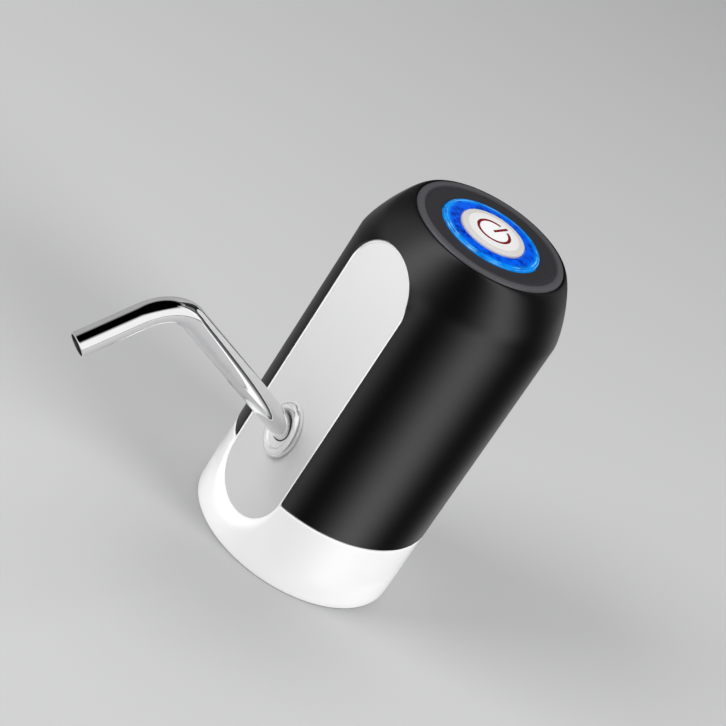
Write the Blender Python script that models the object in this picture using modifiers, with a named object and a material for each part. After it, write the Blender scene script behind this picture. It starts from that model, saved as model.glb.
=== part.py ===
"""Bottled water pump: a rechargeable electric pump that sits on the neck of a large water bottle.

The body's axis is vertical and the base stands on z = 0.  The front, where the spout leaves the
body, faces -Y.  The origin is under the middle of the whole object, spout included.
"""
import math

import bmesh
import bpy
from mathutils import Matrix, Vector

for old in list(bpy.data.objects):
    bpy.data.objects.remove(old, do_unlink=True)

# Clearances that every piece shares
FIT_GAP = 0.0003
SEAM_GAP = 0.00015
OVERRUN = 0.004
MERGE = 0.00001

# Screws
SCREW_POINT_SHARE = 0.6
SCREW_HEAD_EDGE_SHARE = 0.6
SCREW_HEAD_FACE_SHARE = 0.8

# Fineness of turned pieces
SHARP_ANGLE = math.radians(32)
BODY_STEPS = 48
RING_STEPS = 28
PART_STEPS = 20
SMALL_STEPS = 8

# Outer body
BASE_LIP_DROP = 0.001
SHOULDER_HEIGHT = 0.01986
SHELL_TOP_RADIUS = 0.027
SHOULDER_POWER_SHARE = 1.27
SHOULDER_STEPS = 6
SHELL_WALL = 0.002
CELL_TO_SHELL = 0.0038
EDGE_CHAMFER = 0.0004

# Socket for the bottle's neck, in the base
NECK_RADIUS = 0.0275
NECK_CLEARANCE = 0.0004
SEAL_WALL = 0.0014
SEAL_LIP = 0.0009
SEAL_LIP_HALF = 0.0009
SEAL_LIP_COUNT = 3
SEAL_LIP_PLACE_SHARE = 0.7
SEAL_FOOT = 0.001
SOCKET_WALL = 0.0018
SKIN_WALL = 0.0023
SKIN_TO_SOCKET = 0.0023
BASE_WEB = 0.0024
SOCKET_DEPTH = 0.0245
CEILING_THICKNESS = 0.003
SHELL_LIP_WALL = 0.0014
SHELL_LIP_DEPTH = 0.004
SHELL_LIP_ROOT = 0.0035

# Flat front panel
PANEL_DEPTH = 0.004
TONGUE_HALF_WIDTH = 0.0157
TONGUE_TOP_DROP = 0.00966
PANEL_BOTTOM_Z = 0.0106
TONGUE_WALL = 0.0021
TONGUE_BORDER = 0.0007
INLAY_THICKNESS = 0.001
LEDGE_SLOPE_SHARE = 0.55
BACKING_HALF_WIDTH = 0.0135
BACKING_RISE = 0.004

# Spout
SPOUT_RISE = math.radians(34.4)
SPOUT_FALL = math.radians(37.0)
SPOUT_RADIUS = 0.004
SPOUT_WALL = 0.0005
SPOUT_BEND_RADIUS = 0.0165
SPOUT_BEND_STEPS = 10
SPOUT_LIFT = 0.01464
SPOUT_RISER_LENGTH = 0.0865
SPOUT_NOSE_LENGTH = 0.0325
SPOUT_INSERTION = 0.0145
SPOUT_RESOLUTION = 3

# Collar round the spout
COLLAR_HALF_WIDTH = 0.007
COLLAR_HALF_HEIGHT = 0.0106
COLLAR_RISE = 0.0025
COLLAR_DISH = 0.0011
COLLAR_ROUND = math.radians(135)
COLLAR_ROUND_STEPS = 5
COLLAR_TUBE_WALL = 0.001
COLLAR_TUBE_DEPTH = 0.005
COLLAR_TUBE_PROUD = 0.0035

# Outlet socket behind the panel
SLEEVE_WALL = 0.0008
SLEEVE_STOP = 0.0014
SLEEVE_STOP_INSET = 0.001
OUTLET_WALL = 0.0015
OUTLET_END_WALL = 0.0015
OUTLET_BARB_RISE = 0.0015
OUTLET_BARB_LENGTH = 0.009

# Hoses and barbs
BARB_RADIUS = 0.00235
BARB_BORE = 0.0014
HOSE_RADIUS = 0.0036
HOSE_WALL = 0.001
HOSE_RESOLUTION = 2
HOSE_SPAN_POINTS = 3
HOSE_EASE = 0.0015
OUTLET_ROUTE_SHARES = ((0.355, 0.47, 0.15), (0.84, 0.9, 0.49))

# Inlet nipple through the socket's ceiling
NIPPLE_SHANK_RADIUS = 0.0044
NIPPLE_FLANGE_RADIUS = 0.008
NIPPLE_FLANGE_HEIGHT = 0.0017
NIPPLE_SPIGOT_RADIUS = 0.0036
NIPPLE_RIDGE = 0.0007
NIPPLE_RIDGE_PITCH = 0.003
NIPPLE_RIDGE_COUNT = 2
NIPPLE_LENGTH = 0.0098
NIPPLE_BARB_LENGTH = 0.006
GASKET_HEIGHT = 0.0014
GASKET_WALL = 0.002
NUT_RADIUS = 0.0064
NUT_HEIGHT = 0.0028
NUT_SIDES = 6

# Chassis: a plate over the socket and an upright backbone
PLATE_THICKNESS = 0.0024
PLATE_CLEARANCE = 0.0005
BACKBONE_FRONT_Y = 0.019
BACKBONE_THICKNESS = 0.002
BACKBONE_LEFT = 0.0258
BACKBONE_RIGHT = 0.026
BACKBONE_RISE = 0.0039
BOSS_RADIUS = 0.0032
BOSS_HEIGHT = 0.0045
CASE_SCREW_TO_SEAL = 0.001
CASE_SCREW_ANGLES = [math.radians(a) for a in (90, 200, 340)]
CASE_SCREW_RADIUS = 0.0014
CASE_SCREW_HEAD_RADIUS = 0.0026
CASE_SCREW_HEAD_HEIGHT = 0.0016
CASE_SCREW_LENGTH = 0.0085
CASE_SCREW_KEY_RADIUS = 0.0012
KEY_SIDES = 6

# Battery and its holder
CELL_RADIUS = 0.00915
CELL_LENGTH = 0.065
CELL_X = 0.0165
CELL_CAP_RADIUS = 0.004
CELL_CAP_HEIGHT = 0.0008
CRADLE_WALL = 0.0015
CRADLE_HEIGHT = 0.014
CRADLE_SLOT_WIDTH = 0.007
CLIP_LIFT = 0.0458
CLIP_HEIGHT = 0.008
CONTACT_THICKNESS = 0.0003
CONTACT_WIDTH = 0.005

# Pump unit
PUMP_X = -0.009
PUMP_RADIUS = 0.0135
HEAD_LIFT = 0.0218
HEAD_HEIGHT = 0.006
HEAD_BARB_LENGTH = 0.006
HEAD_BARB_SPREAD = 0.0065
VALVE_PLATE_HEIGHT = 0.0021
DIAPHRAGM_THICKNESS = 0.0014
FRAME_HEIGHT = 0.014
FRAME_TOP_WALL = 0.0012
FRAME_BORE = 0.0102
FRAME_MOUTH = 0.005
CUP_RADIUS = 0.0032
CUP_WALL = 0.0009
CUP_CIRCLE = 0.0062
CUP_COUNT = 3
PUMP_SCREW_CIRCLE = 0.0118
PUMP_SCREW_COUNT = 3
PUMP_SCREW_RADIUS = 0.0007
PUMP_SCREW_HEAD_RADIUS = 0.0015
PUMP_SCREW_HEAD_HEIGHT = 0.0013
PUMP_SCREW_LENGTH = 0.018
SCREW_CLEARANCE = 0.0003
VALVE_HEAD_RADIUS = 0.0022
VALVE_HEAD_HEIGHT = 0.0005
VALVE_STEM_RADIUS = 0.0007
INLET_WAY_RADIUS = 0.0012

# Wobble drive
TILT = math.radians(7.0)
PLATE_HALF = 0.0008
WOBBLE_RADIUS = 0.0088
WOBBLE_RISE = 0.0044
WOBBLE_BOSS_RADIUS = 0.0021
WOBBLE_BOSS_HEIGHT = 0.0036
PIN_RADIUS = 0.00075
PIN_CLEARANCE = 0.0002
HUB_RADIUS = 0.0036
HUB_HEIGHT = 0.0048
HUB_WEB = 0.0003

# Motor
CAN_RADIUS = 0.0122
CAN_HEIGHT = 0.028
CAN_WALL = 0.0009
BEARING_RADIUS = 0.003
BEARING_HEIGHT = 0.0025
SHAFT_RADIUS = 0.001
SHAFT_CLEARANCE = 0.00015
END_CAP_HEIGHT = 0.0024
END_CAP_SPIGOT = 0.0014
MAGNET_THICKNESS = 0.0014
MAGNET_HEIGHT = 0.018
MAGNET_LIFT = 0.0035
MAGNET_SPLIT = 0.0015
ARMATURE_RADIUS = 0.0089
ARMATURE_HEIGHT = 0.013
ARMATURE_LIFT = 0.006
SLOT_WIDTH = 0.003
SLOT_ROOT = 0.0035
SLOT_COUNT = 3
WINDING_OVERHANG = 0.0024
WINDING_DEPTH = 0.0045
COMMUTATOR_RADIUS = 0.0031
COMMUTATOR_HEIGHT = 0.0034
BRUSH_THICKNESS = 0.0006
BRUSH_WIDTH = 0.0024
BRUSH_HEIGHT = 0.0036
TERMINAL_HEIGHT = 0.0026

# Strap that holds the motor to the backbone
STRAP_WALL = 0.0012
STRAP_HEIGHT = 0.006
STRAP_EAR = 0.0035
STRAP_EAR_DEPTH = 0.0015
STRAP_HOOK = 0.003
STRAP_LIFT = 0.008
STRAP_SCREW_RADIUS = 0.0008
STRAP_SCREW_HEAD_RADIUS = 0.0015
STRAP_SCREW_HEAD_HEIGHT = 0.001

# Charging board and socket, at the back
SHELF_LIFT = 0.0057
SHELF_THICKNESS = 0.0018
SHELF_WIDTH = 0.018
SHELF_DEPTH = 0.011
CHARGE_BOARD_WIDTH = 0.016
CHARGE_BOARD_DEPTH = 0.0108
CHARGE_BOARD_THICKNESS = 0.0012
USB_WIDTH = 0.0076
USB_HEIGHT = 0.0027
USB_DEPTH = 0.0057
USB_WALL = 0.00035
USB_BACK_WALL = 0.0005
USB_TONGUE_WIDTH = 0.0048
USB_TONGUE_HEIGHT = 0.0006
USB_TONGUE_DEPTH = 0.0042
PORT_WIDTH = 0.0104
PORT_HEIGHT = 0.0064
CHARGE_CHIP_SIZE = 0.003
CHARGE_CHIP_HEIGHT = 0.0012
CHARGE_CHIP_X = 0.002

# Control board under the top
CELL_HEADROOM = 0.0173
MOTOR_HEADROOM = 0.006
BOARD_TO_FLANGE_TOP = 0.01286
BOARD_RADIUS = 0.0245
BOARD_THICKNESS = 0.0016
BOARD_SCREW_CIRCLE = 0.0222
BOARD_SCREW_ANGLES = [math.radians(a) for a in (0, 180)]
BOARD_BOSS_RADIUS = 0.0024
BOARD_SCREW_RADIUS = 0.00085
BOARD_SCREW_HEAD_RADIUS = 0.0017
BOARD_SCREW_HEAD_HEIGHT = 0.0012
BOARD_SCREW_LENGTH = 0.0065
CHIP_LENGTH = 0.008
CHIP_WIDTH = 0.006
CHIP_HEIGHT = 0.0014
CHIP_OFFSET = 0.009
SMALL_CHIP_WIDTH = 0.003
SMALL_CHIP_X = (-0.003, -0.009)
SMALL_CHIP_Y = (-0.009, -0.0117)
SWITCH_WIDTH = 0.006
SWITCH_HEIGHT = 0.0036
SWITCH_FLOOR = 0.0009
PLUNGER_RADIUS = 0.00175
PLUNGER_PROUD = 0.0008
LED_COUNT = 6
LED_WIDTH = 0.0026
LED_LENGTH = 0.0032
LED_STRIP_THICKNESS = 0.0006
LED_HEIGHT = 0.0019

# Top: bezel, light ring and button
BEZEL_RADIUS = 0.0262
BEZEL_ROUND = 0.0014
BEZEL_RIM_INNER = 0.0236
BEZEL_RECESS = 0.0026
BEZEL_RISE = 0.00334
BEZEL_STEP = 0.0003
BEZEL_CURVE_STEPS = 4
TOP_FLANGE_THICKNESS = 0.002
TOP_FLANGE_CLEARANCE = 0.0003
RING_RADIUS = 0.0175
RING_INNER = 0.01185
RING_RISE = 0.00394
RING_FLANGE = 0.0013
RING_FLANGE_HEIGHT = 0.00146
RING_CROWN = 0.0004
GUIDE_OUTER = 0.0168
GUIDE_INNER = 0.0138
BUTTON_RADIUS = 0.0115
BUTTON_RISE = 0.00464
BUTTON_EDGE = 0.0006
BUTTON_WALL = 0.0012
BUTTON_FACE = 0.002
BUTTON_CATCH = 0.001
BUTTON_CATCH_HEIGHT = 0.001
BUTTON_CATCH_GAP = 0.0005
BUTTON_STEM_RADIUS = 0.0022
BUTTON_TRAVEL = 0.0008
SYMBOL_RADIUS = 0.0061
SYMBOL_STROKE = 0.00075
SYMBOL_BAR_LENGTH = 0.007
SYMBOL_OPENING = math.radians(52)
SYMBOL_TURN = math.radians(13)
SYMBOL_DISC_RADIUS = 0.0085
SYMBOL_DISC_HEIGHT = 0.001
SYMBOL_PROUD = 0.00005
SYMBOL_ARC_STEPS = 20

# Wires
WIRE_RADIUS = 0.0006
WIRE_RESOLUTION = 1
WIRE_SPAN_POINTS = 3
WIRE_STANDOFF = 0.003
WIRE_PITCH = 0.0016
WIRE_BOND_SHARE = 0.85
CHARGE_LEAD_RUN_SHARES = (0.1, 0.4, 0.7)

# Socket, cell and body: the body is as wide as the neck's socket or the cell needs
SEAL_INNER = NECK_RADIUS + NECK_CLEARANCE
SEAL_OUTER = SEAL_INNER + SEAL_WALL
SOCKET_RADIUS = SEAL_OUTER + FIT_GAP
SOCKET_OUTER = SOCKET_RADIUS + SOCKET_WALL
CELL_BORE = CELL_RADIUS + FIT_GAP
CELL_Y = BACKBONE_FRONT_Y - CELL_RADIUS
CELL_REACH = math.hypot(CELL_X, CELL_Y) + CELL_BORE + CRADLE_WALL
BODY_RADIUS = max(
    SOCKET_OUTER + SKIN_TO_SOCKET + SKIN_WALL,
    CELL_REACH + CELL_TO_SHELL + SHELL_WALL,
)
SKIN_INNER = BODY_RADIUS - SKIN_WALL
PANEL_PLANE = BODY_RADIUS - PANEL_DEPTH
TONGUE_BACK = PANEL_PLANE - TONGUE_WALL
CASE_SCREW_CIRCLE = SEAL_INNER - SEAL_LIP - CASE_SCREW_TO_SEAL - CASE_SCREW_HEAD_RADIUS

# The base's ceiling and the chassis plate on it carry what stands above them
CEILING_TOP = SOCKET_DEPTH + CEILING_THICKNESS
BASE_HEIGHT = CEILING_TOP - BASE_LIP_DROP
PLATE_Z = CEILING_TOP + FIT_GAP
PLATE_TOP = PLATE_Z + PLATE_THICKNESS
SPOUT_ENTRY_Z = PLATE_TOP + SPOUT_LIFT
HEAD_BOTTOM_Z = PLATE_TOP + HEAD_LIFT
CLIP_Z = PLATE_TOP + CLIP_LIFT
SHELF_Z = PLATE_TOP + SHELF_LIFT

# Spout, and the body's axis in a frame whose middle is the whole object's
SPOUT_AXIS = Vector((0, -math.cos(SPOUT_RISE), math.sin(SPOUT_RISE)))
SPOUT_NOSE = Vector((0, -math.cos(SPOUT_FALL), -math.sin(SPOUT_FALL)))
SPOUT_ENTRY = Vector((0, -PANEL_PLANE, SPOUT_ENTRY_Z))
SPOUT_APEX = SPOUT_ENTRY + SPOUT_AXIS * SPOUT_RISER_LENGTH
SPOUT_TIP = SPOUT_APEX + SPOUT_NOSE * SPOUT_NOSE_LENGTH
SPOUT_REACH = -SPOUT_TIP.y + SPOUT_RADIUS * math.sin(SPOUT_FALL)
AXIS_Y = (SPOUT_REACH - BODY_RADIUS) / 2
TUBE_BORE = SPOUT_RADIUS + FIT_GAP
COLLAR_TUBE_RADIUS = TUBE_BORE + COLLAR_TUBE_WALL
PANEL_HOLE_RADIUS = COLLAR_TUBE_RADIUS + FIT_GAP
SLEEVE_RADIUS = TUBE_BORE + SLEEVE_WALL
OUTLET_BORE = SLEEVE_RADIUS + FIT_GAP
OUTLET_RADIUS = OUTLET_BORE + OUTLET_WALL
SLEEVE_FRONT = COLLAR_TUBE_DEPTH + FIT_GAP
SLEEVE_END = SPOUT_INSERTION + FIT_GAP + SLEEVE_STOP
OUTLET_BORE_END = SLEEVE_END + FIT_GAP
OUTLET_END = OUTLET_BORE_END + OUTLET_END_WALL
OUTLET_END_CENTRE = SPOUT_ENTRY - SPOUT_AXIS * OUTLET_END
OUTLET_BARB_Z = OUTLET_END_CENTRE.z + OUTLET_BARB_RISE

# Levels from the base upwards
SHELL_BOTTOM = BASE_HEIGHT + FIT_GAP
SHELL_INNER = BODY_RADIUS - SHELL_WALL
SHELL_LIP_OUTER = SKIN_INNER - FIT_GAP
SHELL_LIP_INNER = SHELL_LIP_OUTER - SHELL_LIP_WALL
SHELL_LIP_TOP = SHELL_BOTTOM + SHELL_LIP_ROOT + SHELL_LIP_WALL
PLATE_RADIUS = SHELL_LIP_INNER - PLATE_CLEARANCE
NIPPLE_FLANGE_TOP = SOCKET_DEPTH - GASKET_HEIGHT - 2 * FIT_GAP
NIPPLE_FLANGE_BOTTOM = NIPPLE_FLANGE_TOP - NIPPLE_FLANGE_HEIGHT
NIPPLE_BOTTOM = NIPPLE_FLANGE_BOTTOM - NIPPLE_LENGTH
NUT_Z = PLATE_TOP + FIT_GAP
NIPPLE_SHANK_TOP = NUT_Z + NUT_HEIGHT + FIT_GAP
NIPPLE_TOP = NIPPLE_SHANK_TOP + NIPPLE_BARB_LENGTH
SHANK_HOLE_RADIUS = NIPPLE_SHANK_RADIUS + FIT_GAP
PUMP_Y = BACKBONE_FRONT_Y - FIT_GAP - PUMP_RADIUS
NIPPLE_Y = PUMP_Y
CELL_Z = PLATE_TOP + CONTACT_THICKNESS + 2 * FIT_GAP
CELL_TOP = CELL_Z + CELL_LENGTH
BACKBONE_TOP_Z = CELL_TOP + BACKBONE_RISE
HEAD_TOP = HEAD_BOTTOM_Z + HEAD_HEIGHT
VALVE_PLATE_Z = HEAD_TOP + FIT_GAP
VALVE_PLATE_TOP = VALVE_PLATE_Z + VALVE_PLATE_HEIGHT
DIAPHRAGM_Z = VALVE_PLATE_TOP + FIT_GAP
DIAPHRAGM_TOP = DIAPHRAGM_Z + DIAPHRAGM_THICKNESS
FRAME_Z = DIAPHRAGM_TOP + FIT_GAP
FRAME_TOP = FRAME_Z + FRAME_HEIGHT
NUTATION_Z = DIAPHRAGM_TOP + WOBBLE_RISE
CAN_Z = FRAME_TOP + FIT_GAP
CAN_TOP = CAN_Z + CAN_HEIGHT
HUB_TOP = CAN_Z - 2 * FIT_GAP
HUB_Z = HUB_TOP - HUB_HEIGHT
HUB_MIDDLE = HUB_Z + HUB_HEIGHT / 2
BEARING_HOLE = BEARING_RADIUS + FIT_GAP
BEARING_BORE = SHAFT_RADIUS + SHAFT_CLEARANCE
END_CAP_Z = CAN_TOP + FIT_GAP
END_CAP_TOP = END_CAP_Z + END_CAP_HEIGHT
END_CAP_BOTTOM = END_CAP_Z - END_CAP_SPIGOT
CAN_FLOOR = CAN_Z + CAN_WALL
CAN_BORE = CAN_RADIUS - CAN_WALL
MAGNET_OUTER = CAN_BORE - FIT_GAP
MAGNET_INNER = MAGNET_OUTER - MAGNET_THICKNESS
ARMATURE_Z = CAN_FLOOR + ARMATURE_LIFT
ARMATURE_TOP = ARMATURE_Z + ARMATURE_HEIGHT
COMMUTATOR_Z = ARMATURE_TOP + WINDING_OVERHANG + FIT_GAP
BRUSH_NEAR = COMMUTATOR_RADIUS + FIT_GAP
BRUSH_FAR = BRUSH_NEAR + BRUSH_THICKNESS
STRAP_OUTER = CAN_RADIUS + FIT_GAP + STRAP_WALL
STRAP_Z = CAN_Z + STRAP_LIFT

# The board lies clear of the cell and of the motor, whichever stands taller, and carries the top
BOARD_Z = max(CELL_TOP + CELL_HEADROOM, END_CAP_TOP + MOTOR_HEADROOM)
BOARD_TOP = BOARD_Z + BOARD_THICKNESS
SWITCH_Z = BOARD_TOP + FIT_GAP
SWITCH_TOP = SWITCH_Z + SWITCH_HEIGHT
PLUNGER_TOP = SWITCH_TOP + PLUNGER_PROUD
PLUNGER_BOTTOM = SWITCH_Z + SWITCH_FLOOR + BUTTON_TRAVEL + FIT_GAP
STEM_BOTTOM = PLUNGER_TOP + FIT_GAP
FLANGE_TOP_Z = BOARD_Z + BOARD_TO_FLANGE_TOP
SHELL_TOP_Z = FLANGE_TOP_Z + BEZEL_RECESS
SHOULDER_Z = SHELL_TOP_Z - SHOULDER_HEIGHT
TONGUE_TOP_Z = SHELL_TOP_Z - TONGUE_TOP_DROP
RECESS_RADIUS = BEZEL_RADIUS + FIT_GAP
BEZEL_Z = FLANGE_TOP_Z + FIT_GAP
BEZEL_TOP_Z = FLANGE_TOP_Z + BEZEL_RISE
RING_TOP_Z = FLANGE_TOP_Z + RING_RISE
BUTTON_TOP_Z = FLANGE_TOP_Z + BUTTON_RISE
FLANGE_INNER = RING_RADIUS + RING_FLANGE + TOP_FLANGE_CLEARANCE
RING_FLANGE_TOP = BEZEL_Z - FIT_GAP
RING_FLANGE_BOTTOM = RING_FLANGE_TOP - RING_FLANGE_HEIGHT
LED_TOP = BOARD_TOP + FIT_GAP + LED_HEIGHT
GUIDE_BOTTOM = LED_TOP + FIT_GAP

# Charging socket, whose mouth meets the shell's inner wall
CHARGE_BOARD_Z = SHELF_Z + SHELF_THICKNESS + FIT_GAP
USB_Z = CHARGE_BOARD_Z + CHARGE_BOARD_THICKNESS + FIT_GAP
USB_CENTRE_Z = USB_Z + USB_HEIGHT / 2
BACKBONE_BACK_Y = BACKBONE_FRONT_Y + BACKBONE_THICKNESS
USB_MOUTH_Y = math.sqrt(SHELL_INNER ** 2 - (USB_WIDTH / 2) ** 2) - FIT_GAP

# Collections, the body's axis and the materials
PUMP = bpy.data.collections.new("bottled_water_pump")
CUTTERS = bpy.data.collections.new("cutters")
bpy.context.scene.collection.children.link(PUMP)
bpy.context.scene.collection.children.link(CUTTERS)

BODY_AXIS = bpy.data.objects.new("body_axis", None)
BODY_AXIS.location = (0, AXIS_Y, 0)
PUMP.objects.link(BODY_AXIS)
bpy.context.view_layer.update()


def material(name, colour, roughness, metallic=0.0):
    """A Principled material in one colour."""
    made = bpy.data.materials.new(name)
    made.use_nodes = True
    shader = made.node_tree.nodes["Principled BSDF"]
    shader.inputs["Base Color"].default_value = (*colour, 1)
    shader.inputs["Roughness"].default_value = roughness
    shader.inputs["Metallic"].default_value = metallic
    return made


BLACK_SHELL = material("black_gloss_plastic", (0.012, 0.012, 0.013), 0.22)
DARK_GREY = material("dark_grey_plastic", (0.06, 0.058, 0.062), 0.35)
WHITE = material("white_gloss_plastic", (0.88, 0.88, 0.88), 0.2)
PANEL_GREY = material("light_grey_plastic", (0.68, 0.68, 0.68), 0.4)
CHROME = material("polished_steel", (0.82, 0.82, 0.83), 0.08, 1.0)
STEEL = material("plain_steel", (0.6, 0.6, 0.61), 0.3, 1.0)
COPPER = material("copper", (0.75, 0.4, 0.22), 0.35, 1.0)
BRASS = material("brass", (0.72, 0.55, 0.25), 0.3, 1.0)
MAGNET = material("ferrite", (0.05, 0.05, 0.05), 0.7)
BLUE_LENS = material("blue_lens", (0.02, 0.2, 0.95), 0.1)
RED_INK = material("dark_red_inlay", (0.25, 0.01, 0.015), 0.4)
SILICONE = material("grey_silicone", (0.5, 0.5, 0.5), 0.6)
BLACK_RUBBER = material("black_rubber", (0.02, 0.02, 0.02), 0.7)
NATURAL = material("natural_plastic", (0.75, 0.74, 0.7), 0.45)
BOARD_GREEN = material("circuit_board", (0.02, 0.18, 0.06), 0.5)
CELL_WRAP = material("cell_wrap", (0.03, 0.15, 0.5), 0.35)
LED_WHITE = material("led_package", (0.9, 0.9, 0.8), 0.4)
WIRE_RED = material("wire_insulation", (0.5, 0.02, 0.02), 0.5)


def add(name, mesh, finish=None, at=(0, 0, 0), turn=None):
    """A node of the pump, or a cutter when it has no finish, carried by the body's axis."""
    made = bpy.data.objects.new(name, mesh)
    made.parent = BODY_AXIS
    made.location = at
    if turn is not None:
        made.rotation_mode = "QUATERNION"
        made.rotation_quaternion = turn
    if finish is None:
        CUTTERS.objects.link(made)
        made.hide_render = True
        made.display_type = "WIRE"
    else:
        PUMP.objects.link(made)
        mesh.materials.clear()
        mesh.materials.append(finish)
        mesh.shade_smooth()
        mesh.set_sharp_from_angle(angle=SHARP_ANGLE)
    return made


def change(target, helper, operation):
    """Cut or join one closed mesh with another."""
    modifier = target.modifiers.new(operation.lower() + "_" + helper.name, "BOOLEAN")
    modifier.operation = operation
    modifier.object = helper


def cut(target, helper):
    change(target, helper, "DIFFERENCE")


def join(target, helper):
    change(target, helper, "UNION")


def evaluated_mesh(made):
    """The finished mesh of an object whose modifiers or bevel are live; the object goes."""
    bpy.context.view_layer.update()
    graph = bpy.context.evaluated_depsgraph_get()
    mesh = bpy.data.meshes.new_from_object(made.evaluated_get(graph))
    bpy.data.objects.remove(made, do_unlink=True)
    work = bmesh.new()
    work.from_mesh(mesh)
    bmesh.ops.remove_doubles(work, verts=work.verts, dist=MERGE)
    bmesh.ops.recalc_face_normals(work, faces=work.faces)
    work.to_mesh(mesh)
    work.free()
    return mesh


def turned(profile, steps, solid=False):
    """A mesh turned about Z from (radius, height) points that run down the outer side.

    A ring's profile closes on itself; a solid's profile starts and ends on the axis.
    """
    count = len(profile)
    edges = [(i, i + 1) for i in range(count - 1)]
    if not solid:
        edges.append((count - 1, 0))
    outline = bpy.data.meshes.new("outline")
    outline.from_pydata([(radius, 0, height) for radius, height in profile], edges, [])
    lathe = bpy.data.objects.new("lathe", outline)
    CUTTERS.objects.link(lathe)
    screw = lathe.modifiers.new("turn", "SCREW")
    screw.steps = steps
    screw.render_steps = steps
    screw.use_merge_vertices = True
    screw.merge_threshold = MERGE
    return evaluated_mesh(lathe)


def rod(radius, low, high, steps, top_radius=None):
    """An upright cylinder or cone frustum from one height to another."""
    work = bmesh.new()
    bmesh.ops.create_cone(
        work,
        cap_ends=True,
        segments=steps,
        radius1=radius,
        radius2=radius if top_radius is None else top_radius,
        depth=high - low,
        matrix=Matrix.Translation((0, 0, (low + high) / 2)),
    )
    return to_mesh(work)


def block(low, high):
    """A box between two corners."""
    low = Vector(low)
    high = Vector(high)
    work = bmesh.new()
    place = Matrix.Translation((low + high) / 2) @ Matrix.Diagonal((*(high - low), 1))
    bmesh.ops.create_cube(work, size=1, matrix=place)
    return to_mesh(work)


def to_mesh(work):
    mesh = bpy.data.meshes.new("shape")
    work.to_mesh(mesh)
    work.free()
    return mesh


def stretched(radius, depth, length, steps, back_radius=None):
    """A flat-sided prism with round ends: a cylinder along Z, drawn out along +Y by length.

    steps is a multiple of four, so that no corner lies on the X axis.
    """
    work = bmesh.new()
    bmesh.ops.create_cone(
        work,
        cap_ends=True,
        segments=steps,
        radius1=radius,
        radius2=radius if back_radius is None else back_radius,
        depth=depth,
        matrix=Matrix.Rotation(math.pi / steps, 4, "Z"),
    )
    for vert in work.verts:
        if vert.co.y > 0:
            vert.co.y += length
    return to_mesh(work)


def gathered(pieces):
    """One mesh that holds several separate solids, each given as (mesh, matrix)."""
    work = bmesh.new()
    for mesh, place in pieces:
        start = len(work.verts)
        work.from_mesh(mesh)
        work.verts.ensure_lookup_table()
        bmesh.ops.transform(work, matrix=place, verts=work.verts[start:])
    return to_mesh(work)


def spread(mesh, places):
    """Copies of one mesh at several places, as one mesh."""
    return gathered([(mesh, Matrix.Translation(place)) for place in places])


def round_places(circle, angles, centre=(0, 0), height=0.0):
    """Places on a circle, one for each angle."""
    return [
        Vector((centre[0] + circle * math.cos(a), centre[1] + circle * math.sin(a), height))
        for a in angles
    ]


def add_copies(name, mesh, finish, places, turn=None):
    """The same piece at several places, each copy its own node."""
    return [
        add(f"{name}_{number}", mesh, finish, place, turn)
        for number, place in enumerate(places, 1)
    ]


def even_angles(count, start=0.0):
    return [start + 2 * math.pi * i / count for i in range(count)]


def smooth_route(points, span_points):
    """Points on one smooth curve through the route's own points, straight at both ends."""
    points = [Vector(point) for point in points]
    before = [points[0], *points[:-1]]
    after = [*points[1:], points[-1]]
    headings = [(b - a).normalized() for a, b in zip(before, after)]
    route = []
    for i in range(len(points) - 1):
        start, end = points[i], points[i + 1]
        span = (end - start).length
        for step in range(span_points):
            t = step / span_points
            route.append(
                start * (1 - t) ** 2 * (1 + 2 * t) + end * t ** 2 * (3 - 2 * t)
                + headings[i] * span * t * (1 - t) ** 2 - headings[i + 1] * span * t ** 2 * (1 - t)
            )
    return [*route, points[-1]]


def round_bar(points, radius, resolution):
    """A round bar along a route, with closed ends."""
    curve = bpy.data.curves.new("route", "CURVE")
    curve.dimensions = "3D"
    curve.bevel_depth = radius
    curve.bevel_resolution = resolution
    curve.use_fill_caps = True
    spline = curve.splines.new("POLY")
    spline.points.add(len(points) - 1)
    for knot, point in zip(spline.points, points):
        knot.co = (*point, 1)
    bar = bpy.data.objects.new("bar", curve)
    CUTTERS.objects.link(bar)
    return evaluated_mesh(bar)


def hollow_bar(name, points, radius, wall, resolution, finish):
    """A tube along a route: a round bar with a thinner, longer bar cut out of it."""
    first = (points[0] - points[1]).normalized() * OVERRUN
    last = (points[-1] - points[-2]).normalized() * OVERRUN
    bore_points = [points[0] + first, *points, points[-1] + last]
    tube = add(name, round_bar(points, radius, resolution), finish)
    cut(tube, add(name + "_bore", round_bar(bore_points, radius - wall, resolution)))
    return tube


def fastener(head_radius, head_height, radius, length, steps=SMALL_STEPS):
    """A screw that points up, its head's bearing face at z = 0."""
    return turned(
        [
            (0, length),
            (radius * SCREW_POINT_SHARE, length),
            (radius, length - radius),
            (radius, 0),
            (head_radius, 0),
            (head_radius, -head_height * SCREW_HEAD_EDGE_SHARE),
            (head_radius * SCREW_HEAD_FACE_SHARE, -head_height),
            (0, -head_height),
        ],
        steps,
        solid=True,
    )


ALONG_SPOUT = Vector((0, 0, 1)).rotation_difference(SPOUT_AXIS)
FACING_FRONT = Matrix.Rotation(math.radians(90), 4, "X").to_quaternion()


def shoulder_radius(height, inset=0.0):
    """Outer radius of the body at a height on its rounded shoulder."""
    rise = (height - SHOULDER_Z) / (SHELL_TOP_Z - SHOULDER_Z)
    drop = (1 - max(0.0, 1 - rise ** SHOULDER_POWER_SHARE) ** (1 / SHOULDER_POWER_SHARE))
    return BODY_RADIUS - inset - (BODY_RADIUS - SHELL_TOP_RADIUS) * drop


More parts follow.
